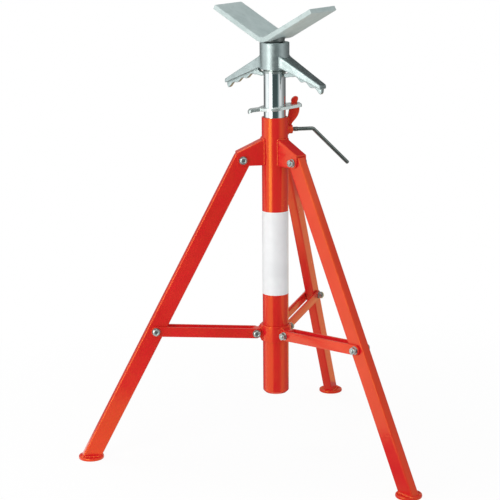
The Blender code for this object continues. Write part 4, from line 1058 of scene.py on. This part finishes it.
def floor():
    """A wide plane, white to the eye: nearly all of it near the stand, where it still
    takes the shadows, and all of it farther away."""
    far = 30.0
    corners = np.array([[[-far, -far, 0], [far, -far, 0]], [[-far, far, 0], [far, far, 0]]])
    _, tree, shader = stage_sheet("floor", corners)
    shader.inputs["Base Color"].default_value = (*[FLOOR_GREY] * 3, 1)
    coordinates = tree.nodes.new("ShaderNodeTexCoord")
    distance = tree.nodes.new("ShaderNodeVectorMath")
    distance.operation = "LENGTH"
    tree.links.new(coordinates.outputs["Object"], distance.inputs[0])
    share = ramp(tree, distance.outputs["Value"], [(0.30, FLOOR_WHITE), (0.95, 1.0)])
    seen = worked_out(tree, "MULTIPLY", share, backdrop_rays(tree))
    shown(tree, seen, shader, tree.nodes.new("ShaderNodeEmission"), tree.nodes["Material Output"])


def card(name, stops, line, colour=(1, 1, 1)):
    """A curved card that only reflections see. Its glow is interpolated between stops of
    (azimuth, glow), and its side is a line of (distance, height)."""
    azimuth = np.linspace(stops[0][0], stops[-1][0], 73)
    glow = np.interp(azimuth, *zip(*stops))
    points = np.stack([around(azimuth, distance, height) for distance, height in line])
    obj, tree, shader = stage_sheet(name, points)
    constants(shader, {"Base Color": (0, 0, 0, 1), "Emission Color": (*colour, 1)})
    values = obj.data.attributes.new("glow", "FLOAT", "POINT").data
    values.foreach_set("value", np.tile(glow, len(line)))
    read = tree.nodes.new("ShaderNodeAttribute")
    read.attribute_name = "glow"
    tree.links.new(read.outputs["Fac"], shader.inputs["Emission Strength"])
    obj.visible_camera = obj.visible_diffuse = obj.visible_shadow = False
    obj.visible_transmission = obj.visible_volume_scatter = False


def lamp(name, azimuth, distance, height, width, tall, power, colour=(1, 1, 1), aim=0.45):
    """A soft panel that faces the stand."""
    data = bpy.data.lights.new(name, "AREA")
    data.shape, data.size, data.size_y = "RECTANGLE", width, tall
    data.energy, data.color = power, colour
    obj = linked(name, data)
    place = Vector(around(azimuth, distance, height))
    obj.location = place
    obj.rotation_euler = (Vector((0, STAND_Y * MM, aim)) - place).to_track_quat("-Z", "Y").to_euler()
    obj.visible_camera = False


FLOOR_GREY, FLOOR_WHITE = 0.90, 0.93
floor()
# Side views of the cards. The standing ones also run in along the floor, because legs and
# braces reflect the floor and should find the card's glow there too.
UPRIGHT_CARD = [(0.06, 0.002), (1.2, 0.002), (1.2, 1.1)]
LOW_CARD = [(0.42, 0.004), (0.75, 0.004), (0.75, 0.36)]
CANOPY = [(1.2, 1.12), (0.8, 1.7), (0.3, 2.1)]
BLUISH, ORANGE = (0.75, 1.05, 1.05), (1.0, 0.66, 0.3)
FRONT = [(-24, 0.3), (-18, 0.08), (28, 0.08), (40, 0.35)]
RIGHT = [(40, 0.35), (50, 0.75), (66, 0.8), (86, 0.4), (115, 0.2), (150, 0.12), (180, 0.5)]
LEFT = [(-180, 0.5), (-150, 0.12), (-132, 0.15), (-116, 0.3), (-100, 1.1), (-70, 1.2)]
card("front_card", FRONT, UPRIGHT_CARD, BLUISH)
card("right_card", RIGHT, UPRIGHT_CARD)
card("warm_card", [(120, 0.25), (132, 0.75), (158, 0.75), (172, 0.3)], LOW_CARD, ORANGE)
card("left_card", LEFT, UPRIGHT_CARD)
card("canopy", [(95, 0.05), (205, 0.05)], CANOPY)

lamp(
    "key_panel", azimuth=-42, distance=1.5, height=0.76, width=0.62, tall=1.5, power=9,
    colour=(1.0, 0.97, 0.93), aim=0.6,
)
lamp("top_panel", azimuth=-120, distance=1.2, height=2.3, width=1.2, tall=1.2, power=9)

world = bpy.data.worlds.new("studio")
bpy.context.scene.world = world
world.use_nodes = True
tree = world.node_tree
tree.nodes.clear()
ROOM_LIGHT, SEEN_WHITE = 0.70, 1.0
lights = []
for strength in (ROOM_LIGHT, SEEN_WHITE):
    light = tree.nodes.new("ShaderNodeBackground")
    constants(light, {"Color": (1, 1, 1, 1), "Strength": strength})
    lights.append(light)
shown(tree, backdrop_rays(tree), *lights, tree.nodes.new("ShaderNodeOutputWorld"))

# Camera, as fitted to the photograph, then turned with its place about the stand's axis
ELEVATION, DISTANCE, AIM_Z, YAW, ROLL, TURN = 13.088, 3.2, 0.400947, -0.91, -0.463, 19.02
FOCUS, PICTURE, SENSOR = 1641.71, 500, 36.0  # pixels, pixels, millimetres
e, y, r = math.radians(ELEVATION), math.radians(YAW), math.radians(ROLL)
forward = Vector((math.sin(y) * math.cos(e), math.cos(y) * math.cos(e), -math.sin(e)))
place = Vector((0, -math.cos(e), math.sin(e))) * DISTANCE + Vector((0, 0, AIM_Z))
right = Vector((math.cos(y), -math.sin(y), 0))
up = right.cross(forward)
right, up = right * math.cos(r) + up * math.sin(r), up * math.cos(r) - right * math.sin(r)
spin = Matrix.Rotation(math.radians(TURN), 3, "Z")
axes = Matrix((spin @ right, spin @ up, -(spin @ forward))).transposed()
data = bpy.data.cameras.new("camera")
data.sensor_width = SENSOR
data.lens = FOCUS / PICTURE * SENSOR
data.clip_start, data.clip_end = 0.05, 200.0
camera = linked("camera", data)
camera.rotation_mode = "QUATERNION"
camera.location = spin @ place + Vector((0, STAND_Y * MM, 0))
camera.rotation_quaternion = axes.to_quaternion()
bpy.context.scene.camera = camera
bpy.context.scene.view_settings.view_transform = "Standard"
